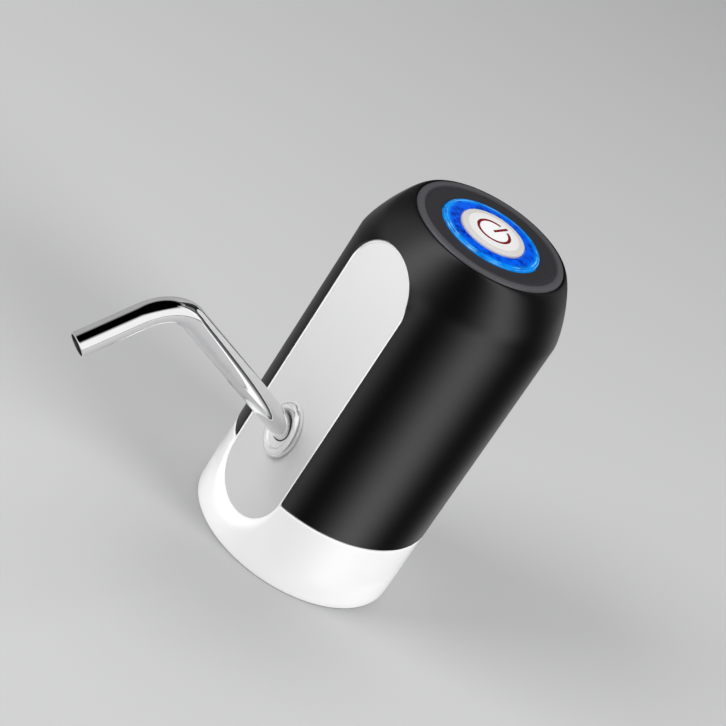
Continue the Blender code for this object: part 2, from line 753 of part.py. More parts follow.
def upright_prism(name, half_width, low, high, front, back, front_flare=0.0):
    """A cutter with round ends that stands on the front panel, from one depth to another."""
    mesh = stretched(
        half_width, front - back, high - low - 2 * half_width, BODY_STEPS, half_width + front_flare
    )
    centre_y = -(front + back) / 2
    return add(name, mesh, at=(0, centre_y, low + half_width), turn=FACING_FRONT)


def build_base():
    """White base: skin, socket for the bottle's neck, ceiling, and the tongue behind the panel."""
    base = add(
        "base_housing",
        turned(
            [
                (0, CEILING_TOP),
                (SOCKET_OUTER, CEILING_TOP),
                (SOCKET_OUTER, BASE_WEB),
                (SKIN_INNER, BASE_WEB),
                (SKIN_INNER, BASE_HEIGHT),
                (BODY_RADIUS, BASE_HEIGHT),
                (BODY_RADIUS, EDGE_CHAMFER),
                (BODY_RADIUS - EDGE_CHAMFER, 0),
                (SOCKET_RADIUS + EDGE_CHAMFER, 0),
                (SOCKET_RADIUS, EDGE_CHAMFER),
                (SOCKET_RADIUS, SOCKET_DEPTH),
                (0, SOCKET_DEPTH),
            ],
            BODY_STEPS,
            solid=True,
        ),
        WHITE,
    )
    tongue = upright_prism(
        "tongue", TONGUE_HALF_WIDTH, PANEL_BOTTOM_Z, TONGUE_TOP_Z,
        PANEL_PLANE + TONGUE_WALL / 2, TONGUE_BACK,
    )
    ledge = (BODY_RADIUS + OVERRUN - PANEL_PLANE) * LEDGE_SLOPE_SHARE
    pocket = upright_prism(
        "panel_pocket", TONGUE_HALF_WIDTH + SEAM_GAP, PANEL_BOTTOM_Z - SEAM_GAP,
        TONGUE_TOP_Z + SEAM_GAP, BODY_RADIUS + OVERRUN, PANEL_PLANE, ledge,
    )
    recess = upright_prism(
        "inlay_recess",
        TONGUE_HALF_WIDTH - TONGUE_BORDER,
        PANEL_BOTTOM_Z + TONGUE_BORDER,
        TONGUE_TOP_Z - TONGUE_BORDER,
        PANEL_PLANE + OVERRUN,
        PANEL_PLANE - INLAY_THICKNESS - SEAM_GAP,
    )
    overlap = SKIN_WALL / 2
    backing = add("ledge_backing", turned(
        [
            (SKIN_INNER + overlap, PANEL_BOTTOM_Z + BACKING_RISE),
            (SKIN_INNER + overlap, BASE_WEB / 2),
            (SOCKET_OUTER - SOCKET_WALL / 2, BASE_WEB / 2),
            (SOCKET_OUTER - SOCKET_WALL / 2, PANEL_BOTTOM_Z + BACKING_RISE),
        ], BODY_STEPS))
    change(backing, add("backing_room", block(
        (-BACKING_HALF_WIDTH, -BODY_RADIUS, 0), (BACKING_HALF_WIDTH, 0, BASE_HEIGHT)
    )), "INTERSECT")
    join(base, backing)
    join(base, tongue)
    cut(base, pocket)
    cut(base, recess)
    cut(base, panel_hole())
    holes = spread(
        rod(CASE_SCREW_RADIUS + SCREW_CLEARANCE, SOCKET_DEPTH - OVERRUN, CEILING_TOP + OVERRUN,
            SMALL_STEPS),
        round_places(CASE_SCREW_CIRCLE, CASE_SCREW_ANGLES),
    )
    shank = rod(SHANK_HOLE_RADIUS, SOCKET_DEPTH - OVERRUN, CEILING_TOP + OVERRUN, PART_STEPS)
    cut(base, add("ceiling_holes", gathered([
        (holes, Matrix()), (shank, Matrix.Translation((0, NIPPLE_Y, 0)))
    ])))
    return base


def panel_hole():
    """Slanted hole through the tongue and the inlay for the collar's tube."""
    if "panel_hole" in bpy.data.objects:
        return bpy.data.objects["panel_hole"]
    return add(
        "panel_hole",
        rod(PANEL_HOLE_RADIUS, -COLLAR_TUBE_DEPTH - OVERRUN, COLLAR_TUBE_DEPTH + OVERRUN, PART_STEPS),
        at=SPOUT_ENTRY,
        turn=ALONG_SPOUT,
    )


def build_inlay():
    """Light grey inlay that fills the tongue's recess, flush with its border."""
    half_width = TONGUE_HALF_WIDTH - TONGUE_BORDER - SEAM_GAP
    low = PANEL_BOTTOM_Z + TONGUE_BORDER + SEAM_GAP
    high = TONGUE_TOP_Z - TONGUE_BORDER - SEAM_GAP
    mesh = stretched(half_width, INLAY_THICKNESS, high - low - 2 * half_width, BODY_STEPS)
    centre_y = -PANEL_PLANE + INLAY_THICKNESS / 2
    inlay = add("front_panel", mesh, PANEL_GREY, (0, centre_y, low + half_width), FACING_FRONT)
    cut(inlay, panel_hole())


def build_bottle_seal():
    """Silicone liner with three lips that grips the bottle's neck."""
    low = SEAL_FOOT
    high = SOCKET_DEPTH - FIT_GAP
    profile = [(SEAL_OUTER, high), (SEAL_OUTER, low), (SEAL_INNER, low)]
    for i in range(SEAL_LIP_COUNT):
        middle = low + (high - low) * (i + SEAL_LIP_PLACE_SHARE) / SEAL_LIP_COUNT
        profile += [
            (SEAL_INNER, middle - SEAL_LIP_HALF),
            (SEAL_INNER - SEAL_LIP, middle),
            (SEAL_INNER, middle + SEAL_LIP_HALF),
        ]
    profile.append((SEAL_INNER, high))
    add("bottle_seal", turned(profile, RING_STEPS), SILICONE)


def build_shell():
    """Black cover: straight wall, rounded shoulder, recess for the bezel and two board bosses."""
    heights = [
        SHELL_TOP_Z - (SHELL_TOP_Z - SHOULDER_Z) * (1 - math.cos(math.pi / 2 * i / SHOULDER_STEPS))
        for i in range(SHOULDER_STEPS + 1)
    ]
    flange_bottom = FLANGE_TOP_Z - TOP_FLANGE_THICKNESS
    outer = [(shoulder_radius(z), z) for z in heights]
    inner = [(shoulder_radius(z, SHELL_WALL), z) for z in reversed(heights) if z < flange_bottom]
    shell = add(
        "upper_shell",
        turned(
            [
                *outer,
                (BODY_RADIUS, SHELL_BOTTOM),
                (SHELL_LIP_OUTER, SHELL_BOTTOM),
                (SHELL_LIP_OUTER, SHELL_BOTTOM - SHELL_LIP_DEPTH),
                (SHELL_LIP_INNER, SHELL_BOTTOM - SHELL_LIP_DEPTH),
                (SHELL_LIP_INNER, SHELL_BOTTOM + SHELL_LIP_ROOT),
                (SHELL_INNER, SHELL_LIP_TOP),
                *inner,
                (shoulder_radius(flange_bottom, SHELL_WALL), flange_bottom),
                (FLANGE_INNER, flange_bottom),
                (FLANGE_INNER, FLANGE_TOP_Z),
                (RECESS_RADIUS, FLANGE_TOP_Z),
                (RECESS_RADIUS, SHELL_TOP_Z),
            ],
            BODY_STEPS,
        ),
        BLACK_SHELL,
    )
    boss_bottom = BOARD_TOP + FIT_GAP
    places = round_places(BOARD_SCREW_CIRCLE, BOARD_SCREW_ANGLES)
    join(shell, add("board_bosses", spread(
        rod(BOARD_BOSS_RADIUS, boss_bottom, FLANGE_TOP_Z - TOP_FLANGE_THICKNESS / 2, SMALL_STEPS),
        places,
    )))
    cut(shell, add("boss_holes", spread(
        rod(BOARD_SCREW_RADIUS + SCREW_CLEARANCE, boss_bottom - OVERRUN,
            BOARD_Z + BOARD_SCREW_LENGTH + FIT_GAP, SMALL_STEPS),
        places,
    )))
    cut(shell, upright_prism(
        "shell_slot",
        TONGUE_HALF_WIDTH + SEAM_GAP,
        -TONGUE_HALF_WIDTH,
        TONGUE_TOP_Z + SEAM_GAP,
        BODY_RADIUS + OVERRUN,
        TONGUE_BACK - FIT_GAP,
    ))
    cut(shell, add("charging_port", block(
        (-PORT_WIDTH / 2, USB_MOUTH_Y - OVERRUN, USB_CENTRE_Z - PORT_HEIGHT / 2),
        (PORT_WIDTH / 2, BODY_RADIUS + OVERRUN, USB_CENTRE_Z + PORT_HEIGHT / 2),
    )))


def build_top():
    """Bezel, light ring, and the button with its catch, stem and inlaid symbol."""
    curve = []
    for i in range(BEZEL_CURVE_STEPS + 1):
        angle = math.pi / 2 * i / BEZEL_CURVE_STEPS
        curve.append((
            BEZEL_RADIUS - BEZEL_ROUND * (1 - math.sin(angle)),
            BEZEL_TOP_Z - BEZEL_ROUND * (1 - math.cos(angle)),
        ))
    add(
        "top_bezel",
        turned(
            [
                *curve,
                (BEZEL_RADIUS, BEZEL_Z),
                (RING_RADIUS + FIT_GAP, BEZEL_Z),
                (RING_RADIUS + FIT_GAP, BEZEL_TOP_Z - BEZEL_STEP),
                (BEZEL_RIM_INNER - BEZEL_STEP, BEZEL_TOP_Z - BEZEL_STEP),
                (BEZEL_RIM_INNER, BEZEL_TOP_Z),
            ],
            BODY_STEPS,
        ),
        DARK_GREY,
    )
    ring_middle = (RING_RADIUS + RING_INNER) / 2
    add(
        "light_ring",
        turned(
            [
                (ring_middle, RING_TOP_Z),
                (RING_RADIUS - RING_CROWN, RING_TOP_Z),
                (RING_RADIUS, RING_TOP_Z - RING_CROWN),
                (RING_RADIUS, RING_FLANGE_TOP),
                (RING_RADIUS + RING_FLANGE, RING_FLANGE_TOP),
                (RING_RADIUS + RING_FLANGE, RING_FLANGE_BOTTOM),
                (GUIDE_OUTER, RING_FLANGE_BOTTOM),
                (GUIDE_OUTER, GUIDE_BOTTOM),
                (GUIDE_INNER, GUIDE_BOTTOM),
                (GUIDE_INNER, RING_FLANGE_BOTTOM),
                (RING_INNER, RING_FLANGE_BOTTOM),
                (RING_INNER, RING_TOP_Z - RING_CROWN),
                (RING_INNER + RING_CROWN, RING_TOP_Z),
            ],
            RING_STEPS,
        ),
        BLUE_LENS,
    )
    catch_top = RING_FLANGE_BOTTOM - BUTTON_CATCH_GAP
    catch_bottom = catch_top - BUTTON_CATCH_HEIGHT
    face_bottom = BUTTON_TOP_Z - BUTTON_FACE
    skirt = BUTTON_RADIUS - BUTTON_WALL
    button = add(
        "power_button",
        turned(
            [
                (0, BUTTON_TOP_Z),
                (BUTTON_RADIUS - BUTTON_EDGE, BUTTON_TOP_Z),
                (BUTTON_RADIUS, BUTTON_TOP_Z - BUTTON_EDGE),
                (BUTTON_RADIUS, catch_top),
                (BUTTON_RADIUS + BUTTON_CATCH, catch_top),
                (BUTTON_RADIUS + BUTTON_CATCH, catch_bottom),
                (skirt, catch_bottom),
                (skirt, face_bottom),
                (0, face_bottom),
            ],
            RING_STEPS,
            solid=True,
        ),
        WHITE,
    )
    arc, bar = symbol(SEAM_GAP, face_bottom - OVERRUN, BUTTON_TOP_Z + OVERRUN)
    cut(button, add("symbol_arc_slot", arc))
    cut(button, add("symbol_bar_slot", bar))
    disc_top = face_bottom - FIT_GAP
    insert = add("power_symbol", turned(
        [
            (0, disc_top),
            (SYMBOL_DISC_RADIUS, disc_top),
            (SYMBOL_DISC_RADIUS, disc_top - SYMBOL_DISC_HEIGHT),
            (BUTTON_STEM_RADIUS, disc_top - SYMBOL_DISC_HEIGHT),
            (BUTTON_STEM_RADIUS, STEM_BOTTOM),
            (0, STEM_BOTTOM),
        ], PART_STEPS, solid=True), RED_INK)
    arc, bar = symbol(0.0, disc_top - SYMBOL_DISC_HEIGHT / 2, BUTTON_TOP_Z + SYMBOL_PROUD)
    join(insert, add("symbol_arc", arc))
    join(insert, add("symbol_bar", bar))


def symbol(margin, low, high):
    """A power mark as two solids, turned a little: an open ring, and a bar in its opening."""
    half = SYMBOL_STROKE / 2 + margin
    slack = margin / SYMBOL_RADIUS
    start = math.pi / 2 + SYMBOL_TURN + SYMBOL_OPENING / 2 - slack
    sweep = 2 * math.pi - SYMBOL_OPENING + 2 * slack
    work = bmesh.new()
    corners = [
        work.verts.new((radius * math.cos(start), radius * math.sin(start), height))
        for radius, height in (
            (SYMBOL_RADIUS - half, low),
            (SYMBOL_RADIUS + half, low),
            (SYMBOL_RADIUS + half, high),
            (SYMBOL_RADIUS - half, high),
        )
    ]
    end_face = work.faces.new(corners)
    bmesh.ops.spin(
        work, geom=[end_face, *end_face.edges, *end_face.verts], cent=(0, 0, 0), axis=(0, 0, 1),
        angle=sweep, steps=SYMBOL_ARC_STEPS, use_duplicate=False,
    )
    closing = [e for e in work.edges if e.is_boundary]
    if closing:
        bmesh.ops.holes_fill(work, edges=closing)
    bmesh.ops.recalc_face_normals(work, faces=work.faces)
    arc = to_mesh(work)
    bar = block(
        (-half, -margin, low),
        (half, SYMBOL_BAR_LENGTH + margin, high),
    )
    bar.transform(Matrix.Rotation(SYMBOL_TURN, 4, "Z"))
    return arc, bar


def build_board():
    """Control board, its switch and plunger, light sources, parts and screws."""
    board = add("control_board", rod(BOARD_RADIUS, BOARD_Z, BOARD_TOP, RING_STEPS), BOARD_GREEN)
    places = round_places(BOARD_SCREW_CIRCLE, BOARD_SCREW_ANGLES)
    cut(board, add("board_holes", spread(
        rod(BOARD_SCREW_RADIUS + SCREW_CLEARANCE, BOARD_Z - OVERRUN, BOARD_TOP + OVERRUN,
            SMALL_STEPS),
        places,
    )))
    screw = fastener(
        BOARD_SCREW_HEAD_RADIUS, BOARD_SCREW_HEAD_HEIGHT, BOARD_SCREW_RADIUS, BOARD_SCREW_LENGTH
    )
    bearing = Vector((0, 0, BOARD_Z - FIT_GAP))
    add_copies("board_screw", screw, STEEL, [place + bearing for place in places])
    half = SWITCH_WIDTH / 2
    switch = add("tact_switch", block((-half, -half, SWITCH_Z), (half, half, SWITCH_TOP)), MAGNET)
    cut(switch, add("switch_well", rod(
        PLUNGER_RADIUS + FIT_GAP, SWITCH_Z + SWITCH_FLOOR, SWITCH_TOP + OVERRUN, PART_STEPS
    )))
    add(
        "switch_plunger", rod(PLUNGER_RADIUS, PLUNGER_BOTTOM, PLUNGER_TOP, PART_STEPS), BLACK_RUBBER
    )
    strip_low = BOARD_TOP + FIT_GAP
    strip_high = strip_low + LED_STRIP_THICKNESS
    strip = add("led_strip", turned(
        [
            (GUIDE_OUTER, strip_high),
            (GUIDE_OUTER, strip_low),
            (GUIDE_INNER, strip_low),
            (GUIDE_INNER, strip_high),
        ], RING_STEPS), LED_WHITE)
    led = block(
        (-LED_WIDTH / 2, -LED_LENGTH / 2, (strip_low + strip_high) / 2),
        (LED_WIDTH / 2, LED_LENGTH / 2, LED_TOP),
    )
    circle = (GUIDE_OUTER + GUIDE_INNER) / 2
    join(strip, add("leds", gathered([
        (led, Matrix.Rotation(a, 4, "Z") @ Matrix.Translation((circle, 0, 0)))
        for a in even_angles(LED_COUNT)
    ])))
    low = BOARD_Z - CHIP_HEIGHT
    middle = (BOARD_Z + BOARD_TOP) / 2
    chip = block((-CHIP_LENGTH / 2, -CHIP_WIDTH / 2, low), (CHIP_LENGTH / 2, CHIP_WIDTH / 2, middle))
    half = SMALL_CHIP_WIDTH / 2
    small = block((-half, -half, low), (half, half, middle))
    join(board, add("board_chips", gathered([
        (chip, Matrix.Translation((CHIP_OFFSET, -CHIP_OFFSET, 0))),
        *[(small, Matrix.Translation((x, y, 0))) for x, y in zip(SMALL_CHIP_X, SMALL_CHIP_Y)],
    ])))


def build_spout():
    """Steel spout, the sleeve that it turns in, the socket behind the panel and the collar."""
    turn = SPOUT_RISE + SPOUT_FALL
    tangent = SPOUT_BEND_RADIUS * math.tan(turn / 2)
    bend_start = SPOUT_APEX - SPOUT_AXIS * tangent
    centre = bend_start - SPOUT_BEND_RADIUS * Vector((0, math.sin(SPOUT_RISE), math.cos(SPOUT_RISE)))
    spoke = bend_start - centre
    path = [SPOUT_ENTRY - SPOUT_AXIS * SPOUT_INSERTION]
    for i in range(SPOUT_BEND_STEPS + 1):
        path.append(centre + Matrix.Rotation(turn * i / SPOUT_BEND_STEPS, 3, "X") @ spoke)
    path.append(SPOUT_TIP)
    hollow_bar("spout_tube", path, SPOUT_RADIUS, SPOUT_WALL, SPOUT_RESOLUTION, CHROME)

    add(
        "swivel_sleeve",
        turned(
            [
                (SLEEVE_RADIUS, -SLEEVE_FRONT),
                (SLEEVE_RADIUS, -SLEEVE_END),
                (SPOUT_RADIUS - SLEEVE_STOP_INSET, -SLEEVE_END),
                (SPOUT_RADIUS - SLEEVE_STOP_INSET, -SPOUT_INSERTION - FIT_GAP),
                (TUBE_BORE, -SPOUT_INSERTION - FIT_GAP),
                (TUBE_BORE, -SLEEVE_FRONT),
            ],
            PART_STEPS,
        ),
        SILICONE,
        SPOUT_ENTRY,
        ALONG_SPOUT,
    )

    outlet = add(
        "outlet_socket", rod(OUTLET_RADIUS, -OUTLET_END, -SLEEVE_FRONT, PART_STEPS), NATURAL,
        SPOUT_ENTRY, ALONG_SPOUT,
    )
    barb_start = OUTLET_END_CENTRE.y
    barb_end = barb_start + OUTLET_BARB_LENGTH
    along_y = Matrix.Rotation(math.radians(-90), 4, "X").to_quaternion()
    barb_at = (0, 0, OUTLET_BARB_Z)
    join(outlet, add("outlet_barb", rod(BARB_RADIUS, barb_start, barb_end, PART_STEPS), None,
                     barb_at, along_y))
    cut(outlet, add("outlet_bore", rod(OUTLET_BORE, -OUTLET_BORE_END, OVERRUN, PART_STEPS), None,
                    SPOUT_ENTRY, ALONG_SPOUT))
    cut(outlet, add("outlet_way", rod(BARB_BORE, barb_start - OVERRUN, barb_end + OVERRUN,
                                      SMALL_STEPS), None, barb_at, along_y))
    cut(outlet, add("outlet_seat", block(
        (-BODY_RADIUS, -BODY_RADIUS, 0),
        (BODY_RADIUS, -TONGUE_BACK + FIT_GAP, SPOUT_ENTRY_Z + BODY_RADIUS),
    )))

    rim = []
    tube_ring = COLLAR_TUBE_RADIUS
    width = COLLAR_HALF_WIDTH - tube_ring + COLLAR_TUBE_WALL
    for i in range(COLLAR_ROUND_STEPS + 1):
        angle = COLLAR_ROUND * i / COLLAR_ROUND_STEPS
        rim.append((
            COLLAR_HALF_WIDTH - width / 2 * (1 - math.cos(angle)),
            COLLAR_RISE * math.sin(angle),
        ))
    profile = [*reversed(rim), (SPOUT_RADIUS / 2, 0), (SPOUT_RADIUS / 2, COLLAR_RISE - COLLAR_DISH)]
    mesh = turned(profile, RING_STEPS)
    scale = Matrix.Diagonal((1, COLLAR_HALF_HEIGHT / COLLAR_HALF_WIDTH, 1, 1))
    mesh.transform(scale)
    collar_at = (0, -PANEL_PLANE - SEAM_GAP, SPOUT_ENTRY_Z)
    collar = add("spout_collar", mesh, CHROME, collar_at, FACING_FRONT)
    join(collar, add("collar_tube", rod(
        COLLAR_TUBE_RADIUS, -COLLAR_TUBE_DEPTH, COLLAR_TUBE_PROUD, PART_STEPS
    ), None, SPOUT_ENTRY, ALONG_SPOUT))
    reach = COLLAR_TUBE_DEPTH + COLLAR_TUBE_PROUD + OVERRUN
    cut(collar, add("collar_bore", rod(TUBE_BORE, -reach, reach, PART_STEPS), None,
                    SPOUT_ENTRY, ALONG_SPOUT))


def build_nipple():
    """Inlet nipple through the ceiling, with its gasket below and its nut above."""
    profile = [
        (BARB_RADIUS, NIPPLE_TOP),
        (BARB_RADIUS, NIPPLE_SHANK_TOP),
        (NIPPLE_SHANK_RADIUS, NIPPLE_SHANK_TOP),
        (NIPPLE_SHANK_RADIUS, NIPPLE_FLANGE_TOP),
        (NIPPLE_FLANGE_RADIUS, NIPPLE_FLANGE_TOP),
        (NIPPLE_FLANGE_RADIUS, NIPPLE_FLANGE_BOTTOM),
        (NIPPLE_SPIGOT_RADIUS, NIPPLE_FLANGE_BOTTOM),
    ]
    for i in range(NIPPLE_RIDGE_COUNT, 0, -1):
        ridge = NIPPLE_BOTTOM + NIPPLE_RIDGE_PITCH * i
        profile += [
            (NIPPLE_SPIGOT_RADIUS, ridge),
            (NIPPLE_SPIGOT_RADIUS + NIPPLE_RIDGE, ridge),
            (NIPPLE_SPIGOT_RADIUS, ridge - NIPPLE_RIDGE_PITCH / 2),
        ]
    profile += [
        (NIPPLE_SPIGOT_RADIUS - NIPPLE_RIDGE, NIPPLE_BOTTOM),
        (BARB_BORE, NIPPLE_BOTTOM),
        (BARB_BORE, NIPPLE_TOP),
    ]
    place = (0, NIPPLE_Y, 0)
    add("inlet_nipple", turned(profile, PART_STEPS), NATURAL, place)
    gasket_inner = NIPPLE_SHANK_RADIUS + FIT_GAP
    gasket_low = NIPPLE_FLANGE_TOP + FIT_GAP
    add(
        "nipple_gasket",
        turned(
            [
                (gasket_inner + GASKET_WALL, gasket_low + GASKET_HEIGHT),
                (gasket_inner + GASKET_WALL, gasket_low),
                (gasket_inner, gasket_low),
                (gasket_inner, gasket_low + GASKET_HEIGHT),
            ],
            PART_STEPS,
        ),
        SILICONE,
        place,
    )
    nut = add("nipple_nut", rod(NUT_RADIUS, NUT_Z, NUT_Z + NUT_HEIGHT, NUT_SIDES), NATURAL, place)
    cut(nut, add("nut_bore", rod(SHANK_HOLE_RADIUS, NUT_Z - OVERRUN, NUT_Z + NUT_HEIGHT + OVERRUN,
                                 PART_STEPS), None, place))


def build_chassis():
    """Chassis: plate, backbone, cell cradle, charging shelf and screw bosses."""
    chassis = add("chassis", rod(PLATE_RADIUS, PLATE_Z, PLATE_TOP, BODY_STEPS), NATURAL)
    middle = (PLATE_Z + PLATE_TOP) / 2
    join(chassis, add("backbone", block(
        (-BACKBONE_LEFT, BACKBONE_FRONT_Y, middle), (BACKBONE_RIGHT, BACKBONE_BACK_Y, BACKBONE_TOP_Z)
    )))
    join(chassis, add("cradle", rod(
        CELL_BORE + CRADLE_WALL, middle, PLATE_TOP + CRADLE_HEIGHT, PART_STEPS
    ), None, (CELL_X, CELL_Y, 0)))
    join(chassis, add("cell_clip", rod(
        CELL_BORE + CRADLE_WALL, CLIP_Z, CLIP_Z + CLIP_HEIGHT, PART_STEPS
    ), None, (CELL_X, CELL_Y, 0)))
    join(chassis, add("shelf", block(
        (-SHELF_WIDTH / 2, BACKBONE_BACK_Y - BACKBONE_THICKNESS / 2, SHELF_Z),
        (SHELF_WIDTH / 2, BACKBONE_BACK_Y + SHELF_DEPTH, SHELF_Z + SHELF_THICKNESS),
    )))
    places = round_places(CASE_SCREW_CIRCLE, CASE_SCREW_ANGLES)
    join(chassis, add("screw_bosses", spread(
        rod(BOSS_RADIUS, middle, PLATE_TOP + BOSS_HEIGHT, PART_STEPS), places
    )))
    lip_room = SHELL_LIP_INNER - FIT_GAP
    cut(chassis, add("lip_room", turned(
        [
            (BODY_RADIUS, SHELL_LIP_TOP + FIT_GAP),
            (BODY_RADIUS, PLATE_Z - OVERRUN),
            (lip_room, PLATE_Z - OVERRUN),
            (lip_room, SHELL_LIP_TOP + FIT_GAP),
        ], BODY_STEPS)))
    cell_room = rod(CELL_BORE, PLATE_TOP, CELL_TOP, PART_STEPS)
    cut(chassis, add("cell_room", cell_room, None, (CELL_X, CELL_Y, 0)))
    slot = CRADLE_SLOT_WIDTH / 2
    cut(chassis, add("cradle_slot", block(
        (CELL_X - slot, CELL_Y - CELL_BORE - CRADLE_WALL - OVERRUN, PLATE_TOP),
        (CELL_X + slot, CELL_Y, CELL_TOP),
    )))
    notch = OUTLET_RADIUS + 2 * FIT_GAP
    cut(chassis, add("spout_notch", block(
        (-notch, -BODY_RADIUS, PLATE_Z - OVERRUN), (notch, OUTLET_END_CENTRE.y + notch, SHELF_Z)
    )))
    cut(chassis, add("front_flat", block(
        (-BODY_RADIUS, -BODY_RADIUS, PLATE_Z - OVERRUN),
        (BODY_RADIUS, -TONGUE_BACK + FIT_GAP, SHELF_Z),
    )))
    pilot = rod(CASE_SCREW_RADIUS + SCREW_CLEARANCE, PLATE_Z - OVERRUN,
                SOCKET_DEPTH - FIT_GAP + CASE_SCREW_LENGTH + FIT_GAP, SMALL_STEPS)
    shank = rod(SHANK_HOLE_RADIUS, PLATE_Z - OVERRUN, PLATE_TOP + OVERRUN, PART_STEPS)
    cut(chassis, add("chassis_holes", gathered([
        (spread(pilot, places), Matrix()), (shank, Matrix.Translation((0, NIPPLE_Y, 0)))
    ])))
    cut(chassis, strap_hole())
    left = PUMP_X - STRAP_OUTER
    cut(chassis, add("hook_slot", block(
        (left - FIT_GAP, BACKBONE_FRONT_Y - OVERRUN, STRAP_Z - FIT_GAP),
        (left + STRAP_HOOK + FIT_GAP, BACKBONE_BACK_Y + OVERRUN, STRAP_Z + STRAP_HEIGHT + FIT_GAP),
    )))
    screws = add_copies(
        "case_screw",
        fastener(CASE_SCREW_HEAD_RADIUS, CASE_SCREW_HEAD_HEIGHT, CASE_SCREW_RADIUS,
                 CASE_SCREW_LENGTH),
        STEEL,
        [place + Vector((0, 0, SOCKET_DEPTH - FIT_GAP)) for place in places],
    )
    key_bottom = SOCKET_DEPTH - FIT_GAP - CASE_SCREW_HEAD_HEIGHT
    keys = add("screw_keys", spread(
        rod(CASE_SCREW_KEY_RADIUS, key_bottom - OVERRUN, key_bottom + CASE_SCREW_HEAD_HEIGHT / 2,
            KEY_SIDES),
        places,
    ))
    for screw in screws:
        cut(screw, keys)


def strap_ear_place():
    """Middle of the strap's ear, on the backbone's front face."""
    return Vector((
        PUMP_X + STRAP_OUTER + STRAP_EAR / 2, BACKBONE_FRONT_Y, STRAP_Z + STRAP_HEIGHT / 2
    ))


def strap_hole():
    """Screw hole through the strap's ear and the backbone."""
    if "strap_hole" in bpy.data.objects:
        return bpy.data.objects["strap_hole"]
    depth = STRAP_EAR_DEPTH + BACKBONE_THICKNESS + OVERRUN
    return add("strap_hole", rod(STRAP_SCREW_RADIUS + SCREW_CLEARANCE, -depth, depth, SMALL_STEPS),
               at=strap_ear_place(), turn=FACING_FRONT)


def build_strap():
    """Strap that clamps the motor: a hook through the backbone on one side, an ear on the other."""
    place = (PUMP_X, PUMP_Y, STRAP_Z + STRAP_HEIGHT / 2)
    inner = CAN_RADIUS + FIT_GAP
    length = BACKBONE_FRONT_Y - PUMP_Y
    back = BACKBONE_FRONT_Y - FIT_GAP
    top = STRAP_Z + STRAP_HEIGHT
    strap = add("motor_strap", stretched(STRAP_OUTER, STRAP_HEIGHT, length, PART_STEPS), STEEL, place)
    join(strap, add("strap_ear", block(
        (PUMP_X + STRAP_OUTER - STRAP_WALL / 2, back - STRAP_EAR_DEPTH, STRAP_Z),
        (PUMP_X + STRAP_OUTER + STRAP_EAR, back, top),
    )))
    cut(strap, add("strap_room", stretched(
        inner, STRAP_HEIGHT + OVERRUN, length + OVERRUN, PART_STEPS
    ), None, place))
    cut(strap, add("strap_back", block(
        (PUMP_X - STRAP_OUTER - OVERRUN, back, STRAP_Z - OVERRUN),
        (PUMP_X + STRAP_OUTER + STRAP_EAR + OVERRUN, back + STRAP_OUTER + OVERRUN, top + OVERRUN),
    )))
    cut(strap, strap_hole())
    left = PUMP_X - STRAP_OUTER
    hook_front = BACKBONE_BACK_Y + FIT_GAP
    join(strap, add("strap_leg", block(
        (left, back - STRAP_WALL, STRAP_Z), (left + STRAP_WALL, hook_front + STRAP_WALL, top)
    )))
    join(strap, add("strap_hook", block(
        (left, hook_front, STRAP_Z), (left + STRAP_HOOK, hook_front + STRAP_WALL, top)
    )))
    length = FIT_GAP + STRAP_EAR_DEPTH + FIT_GAP + BACKBONE_THICKNESS
    screw = fastener(STRAP_SCREW_HEAD_RADIUS, STRAP_SCREW_HEAD_HEIGHT, STRAP_SCREW_RADIUS, length)
    lift = Vector((0, -STRAP_EAR_DEPTH - 2 * FIT_GAP, 0))
    back_to_front = Matrix.Rotation(math.radians(-90), 4, "X").to_quaternion()
    add("strap_screw", screw, STEEL, strap_ear_place() + lift, back_to_front)


def build_battery():
    """Rechargeable cell and its two spot-welded contact strips."""
    place = (CELL_X, CELL_Y, 0)
    can_top = CELL_TOP - CELL_CAP_HEIGHT
    add(
        "battery_cell",
        turned(
            [
                (0, CELL_TOP),
                (CELL_CAP_RADIUS, CELL_TOP),
                (CELL_CAP_RADIUS, can_top),
                (CELL_RADIUS - EDGE_CHAMFER, can_top),
                (CELL_RADIUS, can_top - EDGE_CHAMFER),
                (CELL_RADIUS, CELL_Z),
                (0, CELL_Z),
            ],
            PART_STEPS,
            solid=True,
        ),
        CELL_WRAP,
        place,
    )
    half = CONTACT_WIDTH / 2
    low = PLATE_TOP + FIT_GAP
    high = CELL_TOP + FIT_GAP
    strip_front = CELL_Y - CELL_RADIUS - FIT_GAP - CONTACT_THICKNESS
    negative = add("contact_negative", block(
        (CELL_X - half, strip_front, low), (CELL_X + half, CELL_Y, low + CONTACT_THICKNESS)
    ), STEEL)
    join(negative, add("contact_riser", block(
        (CELL_X - half, strip_front, low + CONTACT_THICKNESS / 2),
        (CELL_X + half, strip_front + CONTACT_THICKNESS, high),
    )))
    add("contact_positive", block(
        (CELL_X - half, CELL_Y - half, high), (CELL_X + half, CELL_Y + half, high + CONTACT_THICKNESS)
    ), STEEL)


def pump_screw_holes(low, high):
    return spread(
        rod(PUMP_SCREW_RADIUS + SCREW_CLEARANCE, low - OVERRUN, high + OVERRUN, SMALL_STEPS),
        round_places(PUMP_SCREW_CIRCLE, even_angles(PUMP_SCREW_COUNT, math.pi / 2)),
    )


def cup_places(height=0.0):
    return round_places(CUP_CIRCLE, even_angles(CUP_COUNT, math.pi / 3), height=height)


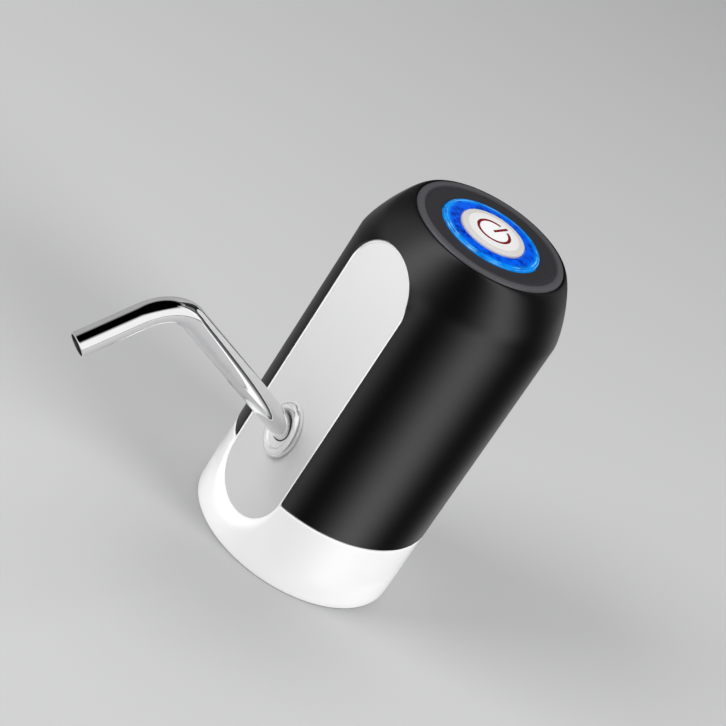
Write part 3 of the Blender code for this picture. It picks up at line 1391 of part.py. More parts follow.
def build_pump():
    """Diaphragm pump: head, valve plate, check valve, diaphragm and frame, and three long screws."""
    place = (PUMP_X, PUMP_Y, 0)
    head = add("pump_head", rod(PUMP_RADIUS, HEAD_BOTTOM_Z, HEAD_TOP, RING_STEPS), NATURAL, place)
    barbs = [(-HEAD_BARB_SPREAD, 0, 0), (-PUMP_X, 0, 0)]
    end = HEAD_BOTTOM_Z - HEAD_BARB_LENGTH
    middle = HEAD_BOTTOM_Z + HEAD_HEIGHT / 2
    join(head, add("head_barbs", spread(rod(BARB_RADIUS, end, middle, PART_STEPS), barbs), None, place))
    ways = spread(rod(BARB_BORE, end - OVERRUN, HEAD_TOP + OVERRUN, SMALL_STEPS), barbs)
    cut(head, add("head_ways", gathered([
        (ways, Matrix()), (pump_screw_holes(HEAD_BOTTOM_Z, HEAD_TOP), Matrix())
    ]), None, place))

    plate = add(
        "valve_plate", rod(PUMP_RADIUS, VALVE_PLATE_Z, VALVE_PLATE_TOP, RING_STEPS), NATURAL, place
    )
    recess_floor = VALVE_PLATE_TOP - VALVE_HEAD_HEIGHT - FIT_GAP
    cut(plate, add("plate_holes", gathered([
        (pump_screw_holes(VALVE_PLATE_Z, VALVE_PLATE_TOP), Matrix()),
        (turned(
            [
                (0, VALVE_PLATE_TOP + OVERRUN),
                (VALVE_HEAD_RADIUS + FIT_GAP, VALVE_PLATE_TOP + OVERRUN),
                (VALVE_HEAD_RADIUS + FIT_GAP, recess_floor),
                (VALVE_STEM_RADIUS + FIT_GAP, recess_floor),
                (VALVE_STEM_RADIUS + FIT_GAP, VALVE_PLATE_Z - OVERRUN),
                (0, VALVE_PLATE_Z - OVERRUN),
            ], SMALL_STEPS, solid=True), Matrix()),
        (spread(rod(INLET_WAY_RADIUS, VALVE_PLATE_Z - OVERRUN, VALVE_PLATE_TOP + OVERRUN, SMALL_STEPS),
                cup_places()), Matrix()),
    ]), None, place))
    add("check_valve", turned(
        [
            (0, VALVE_PLATE_TOP),
            (VALVE_HEAD_RADIUS, VALVE_PLATE_TOP),
            (VALVE_HEAD_RADIUS, VALVE_PLATE_TOP - VALVE_HEAD_HEIGHT),
            (VALVE_STEM_RADIUS, VALVE_PLATE_TOP - VALVE_HEAD_HEIGHT),
            (VALVE_STEM_RADIUS, VALVE_PLATE_Z),
            (0, VALVE_PLATE_Z),
        ], SMALL_STEPS, solid=True), BLACK_RUBBER, place)

    membrane = add(
        "diaphragm", rod(PUMP_RADIUS - FIT_GAP, DIAPHRAGM_Z, DIAPHRAGM_TOP, RING_STEPS),
        BLACK_RUBBER, place,
    )
    cups = []
    rooms = []
    for cup in cup_places():
        top = (
            NUTATION_Z - PLATE_HALF / math.cos(TILT) - cup.x * math.tan(TILT)
            - CUP_RADIUS * math.tan(TILT) - FIT_GAP
        )
        cups.append((rod(CUP_RADIUS, DIAPHRAGM_Z + DIAPHRAGM_THICKNESS / 2, top, PART_STEPS),
                     Matrix.Translation(cup)))
        rooms.append((rod(CUP_RADIUS - CUP_WALL, DIAPHRAGM_Z - OVERRUN, top - CUP_WALL, PART_STEPS),
                      Matrix.Translation(cup)))
    join(membrane, add("diaphragm_cups", gathered(cups), None, place))
    rooms.append((pump_screw_holes(DIAPHRAGM_Z, DIAPHRAGM_TOP), Matrix()))
    cut(membrane, add("diaphragm_rooms", gathered(rooms), None, place))

    frame = add(
        "pump_frame",
        turned(
            [
                (PUMP_RADIUS, FRAME_TOP),
                (PUMP_RADIUS, FRAME_Z),
                (FRAME_BORE, FRAME_Z),
                (FRAME_BORE, FRAME_TOP - FRAME_TOP_WALL),
                (FRAME_MOUTH, FRAME_TOP - FRAME_TOP_WALL),
                (FRAME_MOUTH, FRAME_TOP),
            ],
            RING_STEPS,
        ),
        NATURAL,
        place,
    )
    cut(frame, add("frame_holes", spread(
        rod(PUMP_SCREW_RADIUS + SCREW_CLEARANCE, FRAME_Z - OVERRUN,
            HEAD_BOTTOM_Z + PUMP_SCREW_LENGTH, SMALL_STEPS),
        round_places(PUMP_SCREW_CIRCLE, even_angles(PUMP_SCREW_COUNT, math.pi / 2)),
    ), None, place))
    screw = fastener(
        PUMP_SCREW_HEAD_RADIUS, PUMP_SCREW_HEAD_HEIGHT, PUMP_SCREW_RADIUS, PUMP_SCREW_LENGTH
    )
    add_copies("pump_screw", screw, STEEL, round_places(
        PUMP_SCREW_CIRCLE, even_angles(PUMP_SCREW_COUNT, math.pi / 2), (PUMP_X, PUMP_Y),
        HEAD_BOTTOM_Z - FIT_GAP,
    ))


def build_drive():
    """Wobble drive: hub on the shaft, slanted pin, and the plate that rocks on the pin."""
    place = (PUMP_X, PUMP_Y, 0)
    lean = Matrix.Rotation(TILT, 4, "Y").to_quaternion()
    nutation = (PUMP_X, PUMP_Y, NUTATION_Z)
    hub = add("drive_hub", rod(HUB_RADIUS, HUB_Z, HUB_TOP, PART_STEPS), BRASS, place)
    cut(hub, add("hub_bore", rod(BEARING_BORE, HUB_MIDDLE + HUB_WEB, HUB_TOP + OVERRUN, SMALL_STEPS),
                 None, place))
    pin_top = (HUB_MIDDLE - HUB_WEB - NUTATION_Z) / math.cos(TILT)
    cut(hub, add("pin_hole", rod(PIN_RADIUS + PIN_CLEARANCE, 0, pin_top, SMALL_STEPS), None,
                 nutation, lean))
    pin = rod(PIN_RADIUS, -PLATE_HALF, pin_top - FIT_GAP, SMALL_STEPS)
    add("crank_pin", pin, STEEL, nutation, lean)
    hole = PIN_RADIUS + PIN_CLEARANCE
    add(
        "wobble_plate",
        turned(
            [
                (WOBBLE_BOSS_RADIUS, WOBBLE_BOSS_HEIGHT),
                (WOBBLE_BOSS_RADIUS, PLATE_HALF),
                (WOBBLE_RADIUS, PLATE_HALF),
                (WOBBLE_RADIUS, -PLATE_HALF),
                (hole, -PLATE_HALF),
                (hole, WOBBLE_BOSS_HEIGHT),
            ],
            PART_STEPS,
        ),
        NATURAL,
        nutation,
        lean,
    )


def build_motor():
    """Brushed motor: can, end cap, bearings, magnet, shaft, armature, winding and commutator."""
    place = (PUMP_X, PUMP_Y, 0)
    add(
        "motor_can",
        turned(
            [
                (CAN_RADIUS, CAN_TOP),
                (CAN_RADIUS, CAN_Z),
                (BEARING_HOLE, CAN_Z),
                (BEARING_HOLE, CAN_FLOOR),
                (CAN_BORE, CAN_FLOOR),
                (CAN_BORE, CAN_TOP),
            ],
            RING_STEPS,
        ),
        STEEL,
        place,
    )
    spigot = CAN_BORE - FIT_GAP
    end_cap = add(
        "motor_end_cap",
        turned(
            [
                (CAN_RADIUS, END_CAP_TOP),
                (CAN_RADIUS, END_CAP_Z),
                (spigot, END_CAP_Z),
                (spigot, END_CAP_BOTTOM),
                (BEARING_HOLE, END_CAP_BOTTOM),
                (BEARING_HOLE, END_CAP_TOP),
            ],
            PART_STEPS,
        ),
        MAGNET,
        place,
    )
    bush = turned(
        [
            (BEARING_RADIUS, BEARING_HEIGHT),
            (BEARING_RADIUS, 0),
            (BEARING_BORE, 0),
            (BEARING_BORE, BEARING_HEIGHT),
        ],
        PART_STEPS,
    )
    add_copies("motor_bearing", bush, BRASS, [
        (PUMP_X, PUMP_Y, CAN_Z), (PUMP_X, PUMP_Y, END_CAP_TOP - BEARING_HEIGHT)
    ])
    magnet_low = CAN_FLOOR + MAGNET_LIFT
    magnet = add(
        "motor_magnet",
        turned(
            [
                (MAGNET_OUTER, magnet_low + MAGNET_HEIGHT),
                (MAGNET_OUTER, magnet_low),
                (MAGNET_INNER, magnet_low),
                (MAGNET_INNER, magnet_low + MAGNET_HEIGHT),
            ],
            RING_STEPS,
        ),
        MAGNET,
        place,
    )
    half = MAGNET_SPLIT / 2
    cut(magnet, add("magnet_split", block(
        (-half, -CAN_RADIUS, magnet_low - OVERRUN),
        (half, 0, magnet_low + MAGNET_HEIGHT + OVERRUN),
    ), None, place))
    shaft_bottom = HUB_MIDDLE + HUB_WEB + FIT_GAP
    shaft = rod(SHAFT_RADIUS, shaft_bottom, END_CAP_TOP - FIT_GAP, SMALL_STEPS)
    add("motor_shaft", shaft, STEEL, place)
    armature = add("armature", turned(
        [
            (ARMATURE_RADIUS, ARMATURE_TOP),
            (ARMATURE_RADIUS, ARMATURE_Z),
            (BEARING_BORE, ARMATURE_Z),
            (BEARING_BORE, ARMATURE_TOP),
        ], RING_STEPS), STEEL, place)
    slot = block(
        (SLOT_ROOT, -SLOT_WIDTH / 2, ARMATURE_Z - OVERRUN),
        (ARMATURE_RADIUS + OVERRUN, SLOT_WIDTH / 2, ARMATURE_TOP + OVERRUN),
    )
    angles = even_angles(SLOT_COUNT, math.pi / 6)
    cut(armature, add("armature_slots", gathered([
        (slot, Matrix.Rotation(a, 4, "Z")) for a in angles
    ]), None, place))
    inset = SLOT_WIDTH / 2 - FIT_GAP
    winding_inner = SLOT_ROOT + FIT_GAP
    winding_outer = winding_inner + WINDING_DEPTH
    coil = block(
        (winding_inner, -inset, ARMATURE_Z - WINDING_OVERHANG),
        (winding_outer, inset, ARMATURE_TOP + WINDING_OVERHANG / 2),
    )
    winding = add("rotor_winding", turned(
        [
            (winding_outer, ARMATURE_TOP + WINDING_OVERHANG),
            (winding_outer, ARMATURE_TOP + FIT_GAP),
            (winding_inner, ARMATURE_TOP + FIT_GAP),
            (winding_inner, ARMATURE_TOP + WINDING_OVERHANG),
        ], PART_STEPS), COPPER, place)
    join(winding, add("winding_coils", gathered([
        (coil, Matrix.Rotation(a, 4, "Z")) for a in angles
    ]), None, place))
    add("commutator", turned(
        [
            (COMMUTATOR_RADIUS, COMMUTATOR_Z + COMMUTATOR_HEIGHT),
            (COMMUTATOR_RADIUS, COMMUTATOR_Z),
            (BEARING_BORE, COMMUTATOR_Z),
            (BEARING_BORE, COMMUTATOR_Z + COMMUTATOR_HEIGHT),
        ], SMALL_STEPS), COPPER, place)
    half = BRUSH_WIDTH / 2
    room = half + FIT_GAP
    strip = block(
        (BRUSH_NEAR, -half, END_CAP_BOTTOM - BRUSH_HEIGHT),
        (BRUSH_FAR, half, END_CAP_TOP + TERMINAL_HEIGHT),
    )
    slot = block(
        (BRUSH_NEAR - FIT_GAP, -room, END_CAP_BOTTOM - OVERRUN),
        (BRUSH_FAR + FIT_GAP, room, END_CAP_TOP + OVERRUN),
    )
    cut(end_cap, add("brush_slots", gathered([
        (slot, Matrix.Rotation(a, 4, "Z")) for a in even_angles(2)
    ]), None, place))
    for side, angle in zip(("right", "left"), even_angles(2)):
        add(f"brush_strip_{side}", strip, COPPER, place, Matrix.Rotation(angle, 4, "Z").to_quaternion())


def build_charger():
    """Charging board on its shelf, the metal socket shell on it and the socket's tongue."""
    near = BACKBONE_BACK_Y + FIT_GAP
    top = CHARGE_BOARD_Z + CHARGE_BOARD_THICKNESS
    half = CHARGE_BOARD_WIDTH / 2
    board = add("charge_board", block(
        (-half, near, CHARGE_BOARD_Z), (half, near + CHARGE_BOARD_DEPTH, top)
    ), BOARD_GREEN)
    back = USB_MOUTH_Y - USB_DEPTH
    half = USB_WIDTH / 2
    shell = block((-half, back, USB_Z), (half, USB_MOUTH_Y, USB_Z + USB_HEIGHT))
    socket = add("usb_socket", shell, STEEL)
    cut(socket, add("usb_room", block(
        (-half + USB_WALL, back + USB_BACK_WALL, USB_Z + USB_WALL),
        (half - USB_WALL, USB_MOUTH_Y + OVERRUN, USB_Z + USB_HEIGHT - USB_WALL),
    )))
    half = USB_TONGUE_WIDTH / 2
    tongue_back = back + USB_BACK_WALL + FIT_GAP
    add("usb_tongue", block(
        (-half, tongue_back, USB_CENTRE_Z - USB_TONGUE_HEIGHT / 2),
        (half, tongue_back + USB_TONGUE_DEPTH, USB_CENTRE_Z + USB_TONGUE_HEIGHT / 2),
    ), MAGNET)
    size = CHARGE_CHIP_SIZE
    chip_y = near + size
    join(board, add("charge_chips", spread(
        block((-size / 2, -size / 2, CHARGE_BOARD_Z + CHARGE_BOARD_THICKNESS / 2),
              (size / 2, size / 2, top + CHARGE_CHIP_HEIGHT)),
        [(-CHARGE_CHIP_X, chip_y, 0), (CHARGE_CHIP_X, chip_y, 0)],
    )))


def build_hoses():
    """Silicone hoses: bottle nipple to pump inlet, pump outlet to the spout's socket."""
    low = NIPPLE_SHANK_TOP + FIT_GAP
    high = HEAD_BOTTOM_Z - FIT_GAP
    add("inlet_hose", turned(
        [
            (HOSE_RADIUS, high),
            (HOSE_RADIUS, low),
            (HOSE_RADIUS - HOSE_WALL, low),
            (HOSE_RADIUS - HOSE_WALL, high),
        ], PART_STEPS), SILICONE, (0, NIPPLE_Y, 0))
    seat = OUTLET_END_CENTRE.y + OUTLET_RADIUS * math.sin(SPOUT_RISE) + FIT_GAP
    barb_end = OUTLET_END_CENTRE.y + OUTLET_BARB_LENGTH
    outlet_x = PUMP_X - HEAD_BARB_SPREAD
    head_end = HEAD_BOTTOM_Z - HEAD_BARB_LENGTH
    start = Vector((0, barb_end + HOSE_EASE, OUTLET_BARB_Z))
    finish = Vector((outlet_x, PUMP_Y, head_end - HOSE_EASE))
    way = finish - start
    route = [
        (0, seat, OUTLET_BARB_Z),
        (0, barb_end, OUTLET_BARB_Z),
        start,
        *[start + Vector(s * w for s, w in zip(shares, way)) for shares in OUTLET_ROUTE_SHARES],
        finish,
        (outlet_x, PUMP_Y, head_end),
        (outlet_x, PUMP_Y, high),
    ]
    hollow_bar("outlet_hose", smooth_route(route, HOSE_SPAN_POINTS), HOSE_RADIUS, HOSE_WALL,
               HOSE_RESOLUTION, SILICONE)


def two_core(name, points, side):
    """A two-core lead: two insulated wires side by side, bonded along their length."""
    offset = Vector(side).normalized() * (WIRE_RADIUS * WIRE_BOND_SHARE)
    route = smooth_route(points, WIRE_SPAN_POINTS)
    lead = add(name, round_bar([p - offset for p in route], WIRE_RADIUS, WIRE_RESOLUTION), WIRE_RED)
    twin = add(name + "_twin", round_bar([p + offset for p in route], WIRE_RADIUS, WIRE_RESOLUTION))
    join(lead, twin)


def build_wires():
    """Two-core leads of the motor, the cell and the charging board, all to the control board."""
    end = BOARD_Z - FIT_GAP
    low = END_CAP_TOP + FIT_GAP
    front = PUMP_Y - BRUSH_WIDTH / 2 - FIT_GAP - WIRE_RADIUS
    two_core("motor_lead", [
        (PUMP_X, front, low),
        (PUMP_X, front, low + WIRE_PITCH),
        (PUMP_X, front - WIRE_PITCH, (low + end) / 2 + WIRE_RADIUS),
        (PUMP_X, front - WIRE_PITCH, end),
    ], (1, 0, 0))
    top = CELL_TOP + 2 * FIT_GAP + CONTACT_THICKNESS
    two_core("cell_lead", [
        (CELL_X, CELL_Y - CELL_CAP_RADIUS, top),
        (CELL_X, CELL_Y - CELL_CAP_RADIUS, top + WIRE_STANDOFF),
        (CELL_X - WIRE_STANDOFF, CELL_Y - CELL_CAP_RADIUS, (top + end) / 2),
        (CELL_X - WIRE_STANDOFF, CELL_Y - CELL_CAP_RADIUS, end),
    ], (0, 1, 0))
    start = CHARGE_BOARD_Z + CHARGE_BOARD_THICKNESS + FIT_GAP
    back = BACKBONE_BACK_Y + FIT_GAP + WIRE_RADIUS
    run = BACKBONE_TOP_Z - start
    x = CHARGE_BOARD_WIDTH / 2 - WIRE_PITCH
    knee, sag, rise = [start + run * share for share in CHARGE_LEAD_RUN_SHARES]
    two_core("charge_lead", [
        (x, back, start),
        (x, back, knee),
        (x, back + WIRE_PITCH, sag),
        (x, back + WIRE_PITCH / 2, rise),
        (x, back, BACKBONE_TOP_Z),
        (x, back - WIRE_STANDOFF, end - WIRE_STANDOFF),
        (x, back - WIRE_STANDOFF, end),
    ], (1, 0, 0))


build_base()
build_inlay()
build_bottle_seal()
build_shell()
build_top()
build_board()
build_spout()
build_nipple()
build_chassis()
build_strap()
build_battery()
build_pump()
build_drive()
build_motor()
build_charger()
build_hoses()
build_wires()
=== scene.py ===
"""Bottled water pump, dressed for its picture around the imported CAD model."""
import math

import bmesh
import bpy
from mathutils import Matrix, Vector


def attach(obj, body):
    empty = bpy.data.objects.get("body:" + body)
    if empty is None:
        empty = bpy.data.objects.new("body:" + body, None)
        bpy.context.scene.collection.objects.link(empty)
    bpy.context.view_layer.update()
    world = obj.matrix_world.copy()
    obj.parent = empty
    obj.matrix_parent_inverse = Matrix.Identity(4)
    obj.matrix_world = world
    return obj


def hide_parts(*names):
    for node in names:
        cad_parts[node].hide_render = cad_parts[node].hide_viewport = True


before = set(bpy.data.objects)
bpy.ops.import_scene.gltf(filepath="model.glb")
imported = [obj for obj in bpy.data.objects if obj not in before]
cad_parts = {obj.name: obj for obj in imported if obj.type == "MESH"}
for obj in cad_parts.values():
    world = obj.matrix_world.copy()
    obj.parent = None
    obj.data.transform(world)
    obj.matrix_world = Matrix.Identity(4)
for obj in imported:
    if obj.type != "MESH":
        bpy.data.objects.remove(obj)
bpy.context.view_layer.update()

MM = 0.001

# Camera.  It stands nearly a metre off the pump's front right corner, looks down at it through a
# long lens, and is rolled so that the upright pump leans to the right in the picture.
AXIS_Y = 47.868 * MM
CAMERA_AZIMUTH = math.radians(39.89)
CAMERA_ELEVATION = math.radians(28.54)
CAMERA_ROLL = math.radians(33.4)
CAMERA_DISTANCE = 881.95 * MM
CAMERA_LENS = 136.74
AIM_HEIGHT = 66.88 * MM
AIM_SIDE = -11.44 * MM

to_right = Vector((math.cos(CAMERA_AZIMUTH), math.sin(CAMERA_AZIMUTH), 0))
to_camera = Vector((
    math.sin(CAMERA_AZIMUTH) * math.cos(CAMERA_ELEVATION),
    -math.cos(CAMERA_AZIMUTH) * math.cos(CAMERA_ELEVATION),
    math.sin(CAMERA_ELEVATION),
))
to_top = to_camera.cross(to_right)
picture_right = to_right * math.cos(CAMERA_ROLL) + to_top * math.sin(CAMERA_ROLL)
picture_up = to_top * math.cos(CAMERA_ROLL) - to_right * math.sin(CAMERA_ROLL)
aim = Vector((0, AXIS_Y, AIM_HEIGHT)) + to_right * AIM_SIDE

bpy.ops.object.select_all(action="DESELECT")
bpy.ops.object.camera_add(location=aim + to_camera * CAMERA_DISTANCE)
camera = bpy.context.object
camera.name = "picture_camera"
camera.data.lens = CAMERA_LENS
turned_to_aim = Matrix((picture_right, picture_up, to_camera)).transposed()
camera.matrix_world = Matrix.Translation(camera.location) @ turned_to_aim.to_4x4()
camera.data.clip_start = 0.01
camera.data.clip_end = 20
bpy.context.scene.camera = camera

# Floor and studio light.  A pale seamless floor and large soft lamps, in a white room whose ceiling
# is dark in mirror images.  A curved card stands round the cover's sides: only glossy surfaces
# mirror it, and its soft bands shape the black cover.
FLOOR_SIZE = 8.0
FLOOR_COLOUR = (0.37, 0.37, 0.374)
FLOOR_CLOUD = 1.03
ROOM_LIGHT = 0.45
WALL_LIGHT = (0.45, 1.05)
WALL_FADE = (-0.7, 0.5)
CEILING_FADE = (0.66, 0.8)
CARD_RADIUS = 47 * MM
CARD_HEIGHT = 240 * MM
CARD_OPEN_FROM = -34
CARD_OPEN_TO = 24
CARD_OPEN_HEIGHT = 114 * MM
CARD_GLOW = 0.012
CARD_FADE = 5 * MM
# Each band: azimuth, narrowness, brightness beside the opening, and brightness above it
CARD_BANDS = (
    (72, 25, 1.6, 0), (22.8, 78, 0.92, 0), (-75, 2, 0.2, 0.06), (150, 6, 0.08, 0.08),
    (146, 14, 0.26, 0.16), (208, 40, 1.1, 0), (258, 45, 0.8, 0), (80, 25, 0, 1.6),
    (5, 22, 0, 1.75), (-20, 10, 0, 0.6),
)


class Value:
    """An output of a finish's nodes that takes part in ordinary arithmetic."""

    def __init__(self, finish, socket):
        self.finish = finish
        self.socket = socket

    def maths(self, operation, first, second):
        return self.finish.maths(operation, first, second)

    def __add__(self, other):
        return self.maths("ADD", self, other)

    def __sub__(self, other):
        return self.maths("SUBTRACT", self, other)

    def __rsub__(self, other):
        return self.maths("SUBTRACT", other, self)

    def __mul__(self, other):
        return self.maths("MULTIPLY", self, other)

    def __pow__(self, other):
        return self.maths("POWER", self, other)

    __radd__ = __add__
    __rmul__ = __mul__


class Nodes:
    """The node tree of a material or of the world, to which nodes are added by name."""

    def __init__(self, name, world=None):
        self.material = world or bpy.data.materials.new(name)
        self.material.use_nodes = True
        self.place = self.node("TexCoord", {}, "Generated" if world else "Object", {})

    def fill(self, socket, value):
        if isinstance(value, Value):
            self.material.node_tree.links.new(value.socket, socket)
        elif isinstance(value, tuple) and socket.type == "RGBA":
            socket.default_value = (*value, 1)
        else:
            socket.default_value = value

    def node(self, kind, settings, output, sockets):
        made = self.material.node_tree.nodes.new("ShaderNode" + kind)
        for key, value in settings.items():
            setattr(made, key, value)
        for key, value in sockets.items():
            self.fill(made.inputs[key], value)
        return Value(self, made.outputs[output])

    def maths(self, operation, first, second):
        return self.node("Math", {"operation": operation}, "Value", {0: first, 1: second})

    def part(self, axis):
        """One of the place's X, Y and Z."""
        return self.node("SeparateXYZ", {}, axis, {"Vector": self.place})

    def vector(self, operation, first, second, output="Vector"):
        return self.node("VectorMath", {"operation": operation}, output, {0: first, 1: second})

    def noise(self, size, detail=2.0, place=None):
        """Soft random cloud from 0 to 1 whose blobs are about this many metres across."""
        return self.node("TexNoise", {}, "Fac", {
            "Vector": place or self.place, "Scale": 1 / size, "Detail": detail,
        })

    def ramp(self, value, low, high, to_low=0.0, to_high=1.0):
        """The value stretched so that low becomes to_low and high becomes to_high, and clamped."""
        return self.node("MapRange", {}, "Result", {
            "Value": value, "From Min": low, "From Max": high, "To Min": to_low, "To Max": to_high,
        })

    def mix(self, share, first, second):
        """The first colour where share is 0 and the second where it is 1."""
        return self.node("Mix", {"data_type": "RGBA"}, 2, {0: share, 6: first, 7: second})


bpy.context.scene.view_settings.view_transform = "Standard"

bpy.ops.object.select_all(action="DESELECT")
bpy.ops.mesh.primitive_grid_add(x_subdivisions=8, y_subdivisions=8, size=FLOOR_SIZE)
floor = bpy.context.object
floor.name = "studio_floor"
paper = Nodes("pale_paper")
paper_shader = paper.material.node_tree.nodes["Principled BSDF"]
paper_shader.inputs["Roughness"].default_value = 0.8
paper.fill(paper_shader.inputs["Base Color"], paper.mix(
    paper.noise(180 * MM), FLOOR_COLOUR, tuple(FLOOR_CLOUD * part for part in FLOOR_COLOUR)
))
floor.data.materials.append(paper.material)

room = bpy.data.worlds.new("studio_room")
air = Nodes("studio_air", room)
walls = air.ramp(air.part("X"), *WALL_FADE, *WALL_LIGHT)
mirrored = walls * air.ramp(air.part("Z"), *CEILING_FADE, 1.0, 0.0)
is_mirrored = air.node("LightPath", {}, "Is Glossy Ray", {})
background = room.node_tree.nodes["Background"]
background.inputs["Color"].default_value = (1, 1, 1, 1)
air.fill(background.inputs["Strength"], ROOM_LIGHT + is_mirrored * (mirrored - ROOM_LIGHT))
bpy.context.scene.world = room


def around_pump(azimuth, elevation, distance, height=60 * MM):
    """A place seen from the pump's axis at an azimuth from the front, towards +X."""
    azimuth = math.radians(azimuth)
    elevation = math.radians(elevation)
    return Vector((
        distance * math.sin(azimuth) * math.cos(elevation),
        AXIS_Y - distance * math.cos(azimuth) * math.cos(elevation),
        height + distance * math.sin(elevation),
    ))


def soft_lamp(name, place, width, height, power):
    """A rectangular soft box that faces the pump's middle."""
    bpy.ops.object.select_all(action="DESELECT")
    bpy.ops.object.light_add(type="AREA", location=place)
    lamp = bpy.context.object
    lamp.name = name
    lamp.rotation_mode = "QUATERNION"
    lamp.rotation_quaternion = (around_pump(0, 0, 0) - place).to_track_quat("-Z", "Y")
    lamp.data.shape = "RECTANGLE"
    lamp.data.size = width
    lamp.data.size_y = height
    lamp.data.energy = power
    lamp.visible_camera = False
    lamp.visible_glossy = False


soft_lamp("key_lamp", around_pump(-22, 38, 1.0), 0.5, 0.6, 9.0)
soft_lamp("side_lamp", around_pump(110, 32, 1.0), 0.4, 0.7, 8.6)
soft_lamp("top_lamp", around_pump(200, 66, 1.1), 0.6, 0.6, 5.0)

bpy.ops.object.select_all(action="DESELECT")
bpy.ops.mesh.primitive_cylinder_add(
    vertices=180, radius=CARD_RADIUS, depth=CARD_HEIGHT, end_fill_type="NOTHING",
    location=(0, AXIS_Y, CARD_HEIGHT / 2),
)
card = bpy.context.object
card.name = "mirrored_card"
bpy.ops.object.mode_set(mode="EDIT")
bpy.ops.mesh.select_mode(type="FACE")
bpy.ops.mesh.select_all(action="SELECT")
bpy.ops.mesh.bisect(plane_co=(0, 0, CARD_OPEN_HEIGHT), plane_no=(0, 0, 1))
bpy.ops.mesh.select_all(action="DESELECT")
for face in bmesh.from_edit_mesh(card.data).faces:
    middle = face.calc_center_median()
    azimuth = math.degrees(math.atan2(middle.x, -middle.y))
    beside_spout = CARD_OPEN_FROM < azimuth < CARD_OPEN_TO
    if beside_spout and middle.z < CARD_OPEN_HEIGHT - CARD_HEIGHT / 2:
        face.select_set(True)
bpy.ops.mesh.delete(type="FACE")
bpy.ops.object.mode_set(mode="OBJECT")
bpy.ops.object.transform_apply(location=True, rotation=True, scale=True)
bands = Nodes("soft_bands")
card_side = bands.vector("NORMALIZE", bands.vector(
    "MULTIPLY", bands.vector("SUBTRACT", bands.place, (0, AXIS_Y, 0)), (1, 1, 0)
), (0, 0, 0))
glow = CARD_GLOW
for azimuth, narrowness, low_brightness, high_brightness in CARD_BANDS:
    middle = (math.sin(math.radians(azimuth)), -math.cos(math.radians(azimuth)), 0)
    nearness = bands.maths("MAXIMUM", bands.vector("DOT_PRODUCT", card_side, middle, "Value"), 0.0)
    glow = glow + nearness ** narrowness * bands.ramp(
        bands.part("Z"), CARD_OPEN_HEIGHT, CARD_OPEN_HEIGHT + CARD_FADE,
        low_brightness, high_brightness,
    )
lit = bands.node("Emission", {}, "Emission", {"Strength": glow})
clear = bands.node("BsdfTransparent", {}, "BSDF", {})
inner_side = bands.node("NewGeometry", {}, "Backfacing", {})
bands.fill(
    bands.material.node_tree.nodes["Material Output"].inputs["Surface"],
    bands.node("MixShader", {}, "Shader", {0: inner_side, 1: clear, 2: lit}),
)
card.data.materials.append(bands.material)
card.visible_camera = False
card.visible_diffuse = False
card.visible_shadow = False
card.visible_transmission = False

# White base.  One injection moulding in glossy white ABS: skin, socket for the bottle's neck,
# ceiling, and the long tongue that carries the front panel up the body, with a scooped foot.
BODY_RADIUS = 36
BASE_HEIGHT = 26.5
SKIN_INNER = 33.7
SOCKET_RADIUS = 29.6
SOCKET_OUTER = 31.4
SOCKET_DEPTH = 24.5
CEILING_TOP = 27.5
BASE_WEB = 2.4
PANEL_Y = AXIS_Y - 32 * MM
TONGUE_WALL = 2.1 * MM
TONGUE_HALF_WIDTH = 15.7 * MM
TONGUE_LOW = 10.6 * MM
TONGUE_HIGH = 119.2 * MM
TONGUE_BORDER = 0.7 * MM
INLAY_DEPTH = 1.15 * MM
SPOUT_ENTRY = Vector((0, PANEL_Y, 44.84 * MM))
SPOUT_RISE = math.radians(34.4)
SPOUT_AXIS = Vector((0, -math.cos(SPOUT_RISE), math.sin(SPOUT_RISE)))
PANEL_HOLE_RADIUS = 5.6 * MM
NIPPLE_AXIS = Vector((0, AXIS_Y + 5.2 * MM, 0))
SCREW_CIRCLE = 23.4
SCREW_AZIMUTHS = (180, 290, 70)
BODY_STEPS = 192
WALL_RING = 0.75
MERGE = 0.002 * MM
UPRIGHT = Vector((0, 0, 1))
BODY_AXIS = Vector((0, AXIS_Y, 0))


class Finish(Nodes):
    """A procedural material of the pump, built round one Principled shader."""

    def __init__(self, name, **fixed):
        super().__init__(name)
        self.shader = self.material.node_tree.nodes["Principled BSDF"]
        for key, value in fixed.items():
            self.feed(key, value)

    def feed(self, key, value):
        """Give a shader input a fixed number or colour, or a varying value."""
        self.fill(self.shader.inputs[key.replace("_", " ")], value)

    def emboss(self, height, depth, strength=1.0):
        """Relief of this many metres wherever height goes from 0 to 1."""
        self.feed("Normal", self.node("Bump", {}, "Normal", {
            "Height": height, "Distance": depth, "Strength": strength,
        }))

    def from_body_axis(self):
        """Distance from the body's upright axis."""
        x = self.part("X")
        y = self.part("Y") - AXIS_Y
        return (x * x + y * y) ** 0.5


def select_where(kind, test):
    """In edit mode, select only those verts, edges or faces whose middle passes a test."""
    work = bmesh.from_edit_mesh(bpy.context.object.data)
    bpy.ops.mesh.select_all(action="DESELECT")
    for item in getattr(work, kind):
        if kind == "verts":
            chosen = test(item.co)
        elif kind == "edges":
            chosen = test((item.verts[0].co + item.verts[1].co) / 2)
        else:
            chosen = test(item.calc_center_median())
        if chosen:
            item.select_set(True)
    work.select_flush_mode()
    bmesh.update_edit_mesh(bpy.context.object.data)


def name_piece(name):
    """Leave edit mode, put the piece's place into its mesh and name it."""
    if bpy.context.object.mode == "EDIT":
        bpy.ops.object.mode_set(mode="OBJECT")
    bpy.ops.object.transform_apply(location=True, rotation=True, scale=True)
    piece = bpy.context.object
    piece.name = name
    return piece


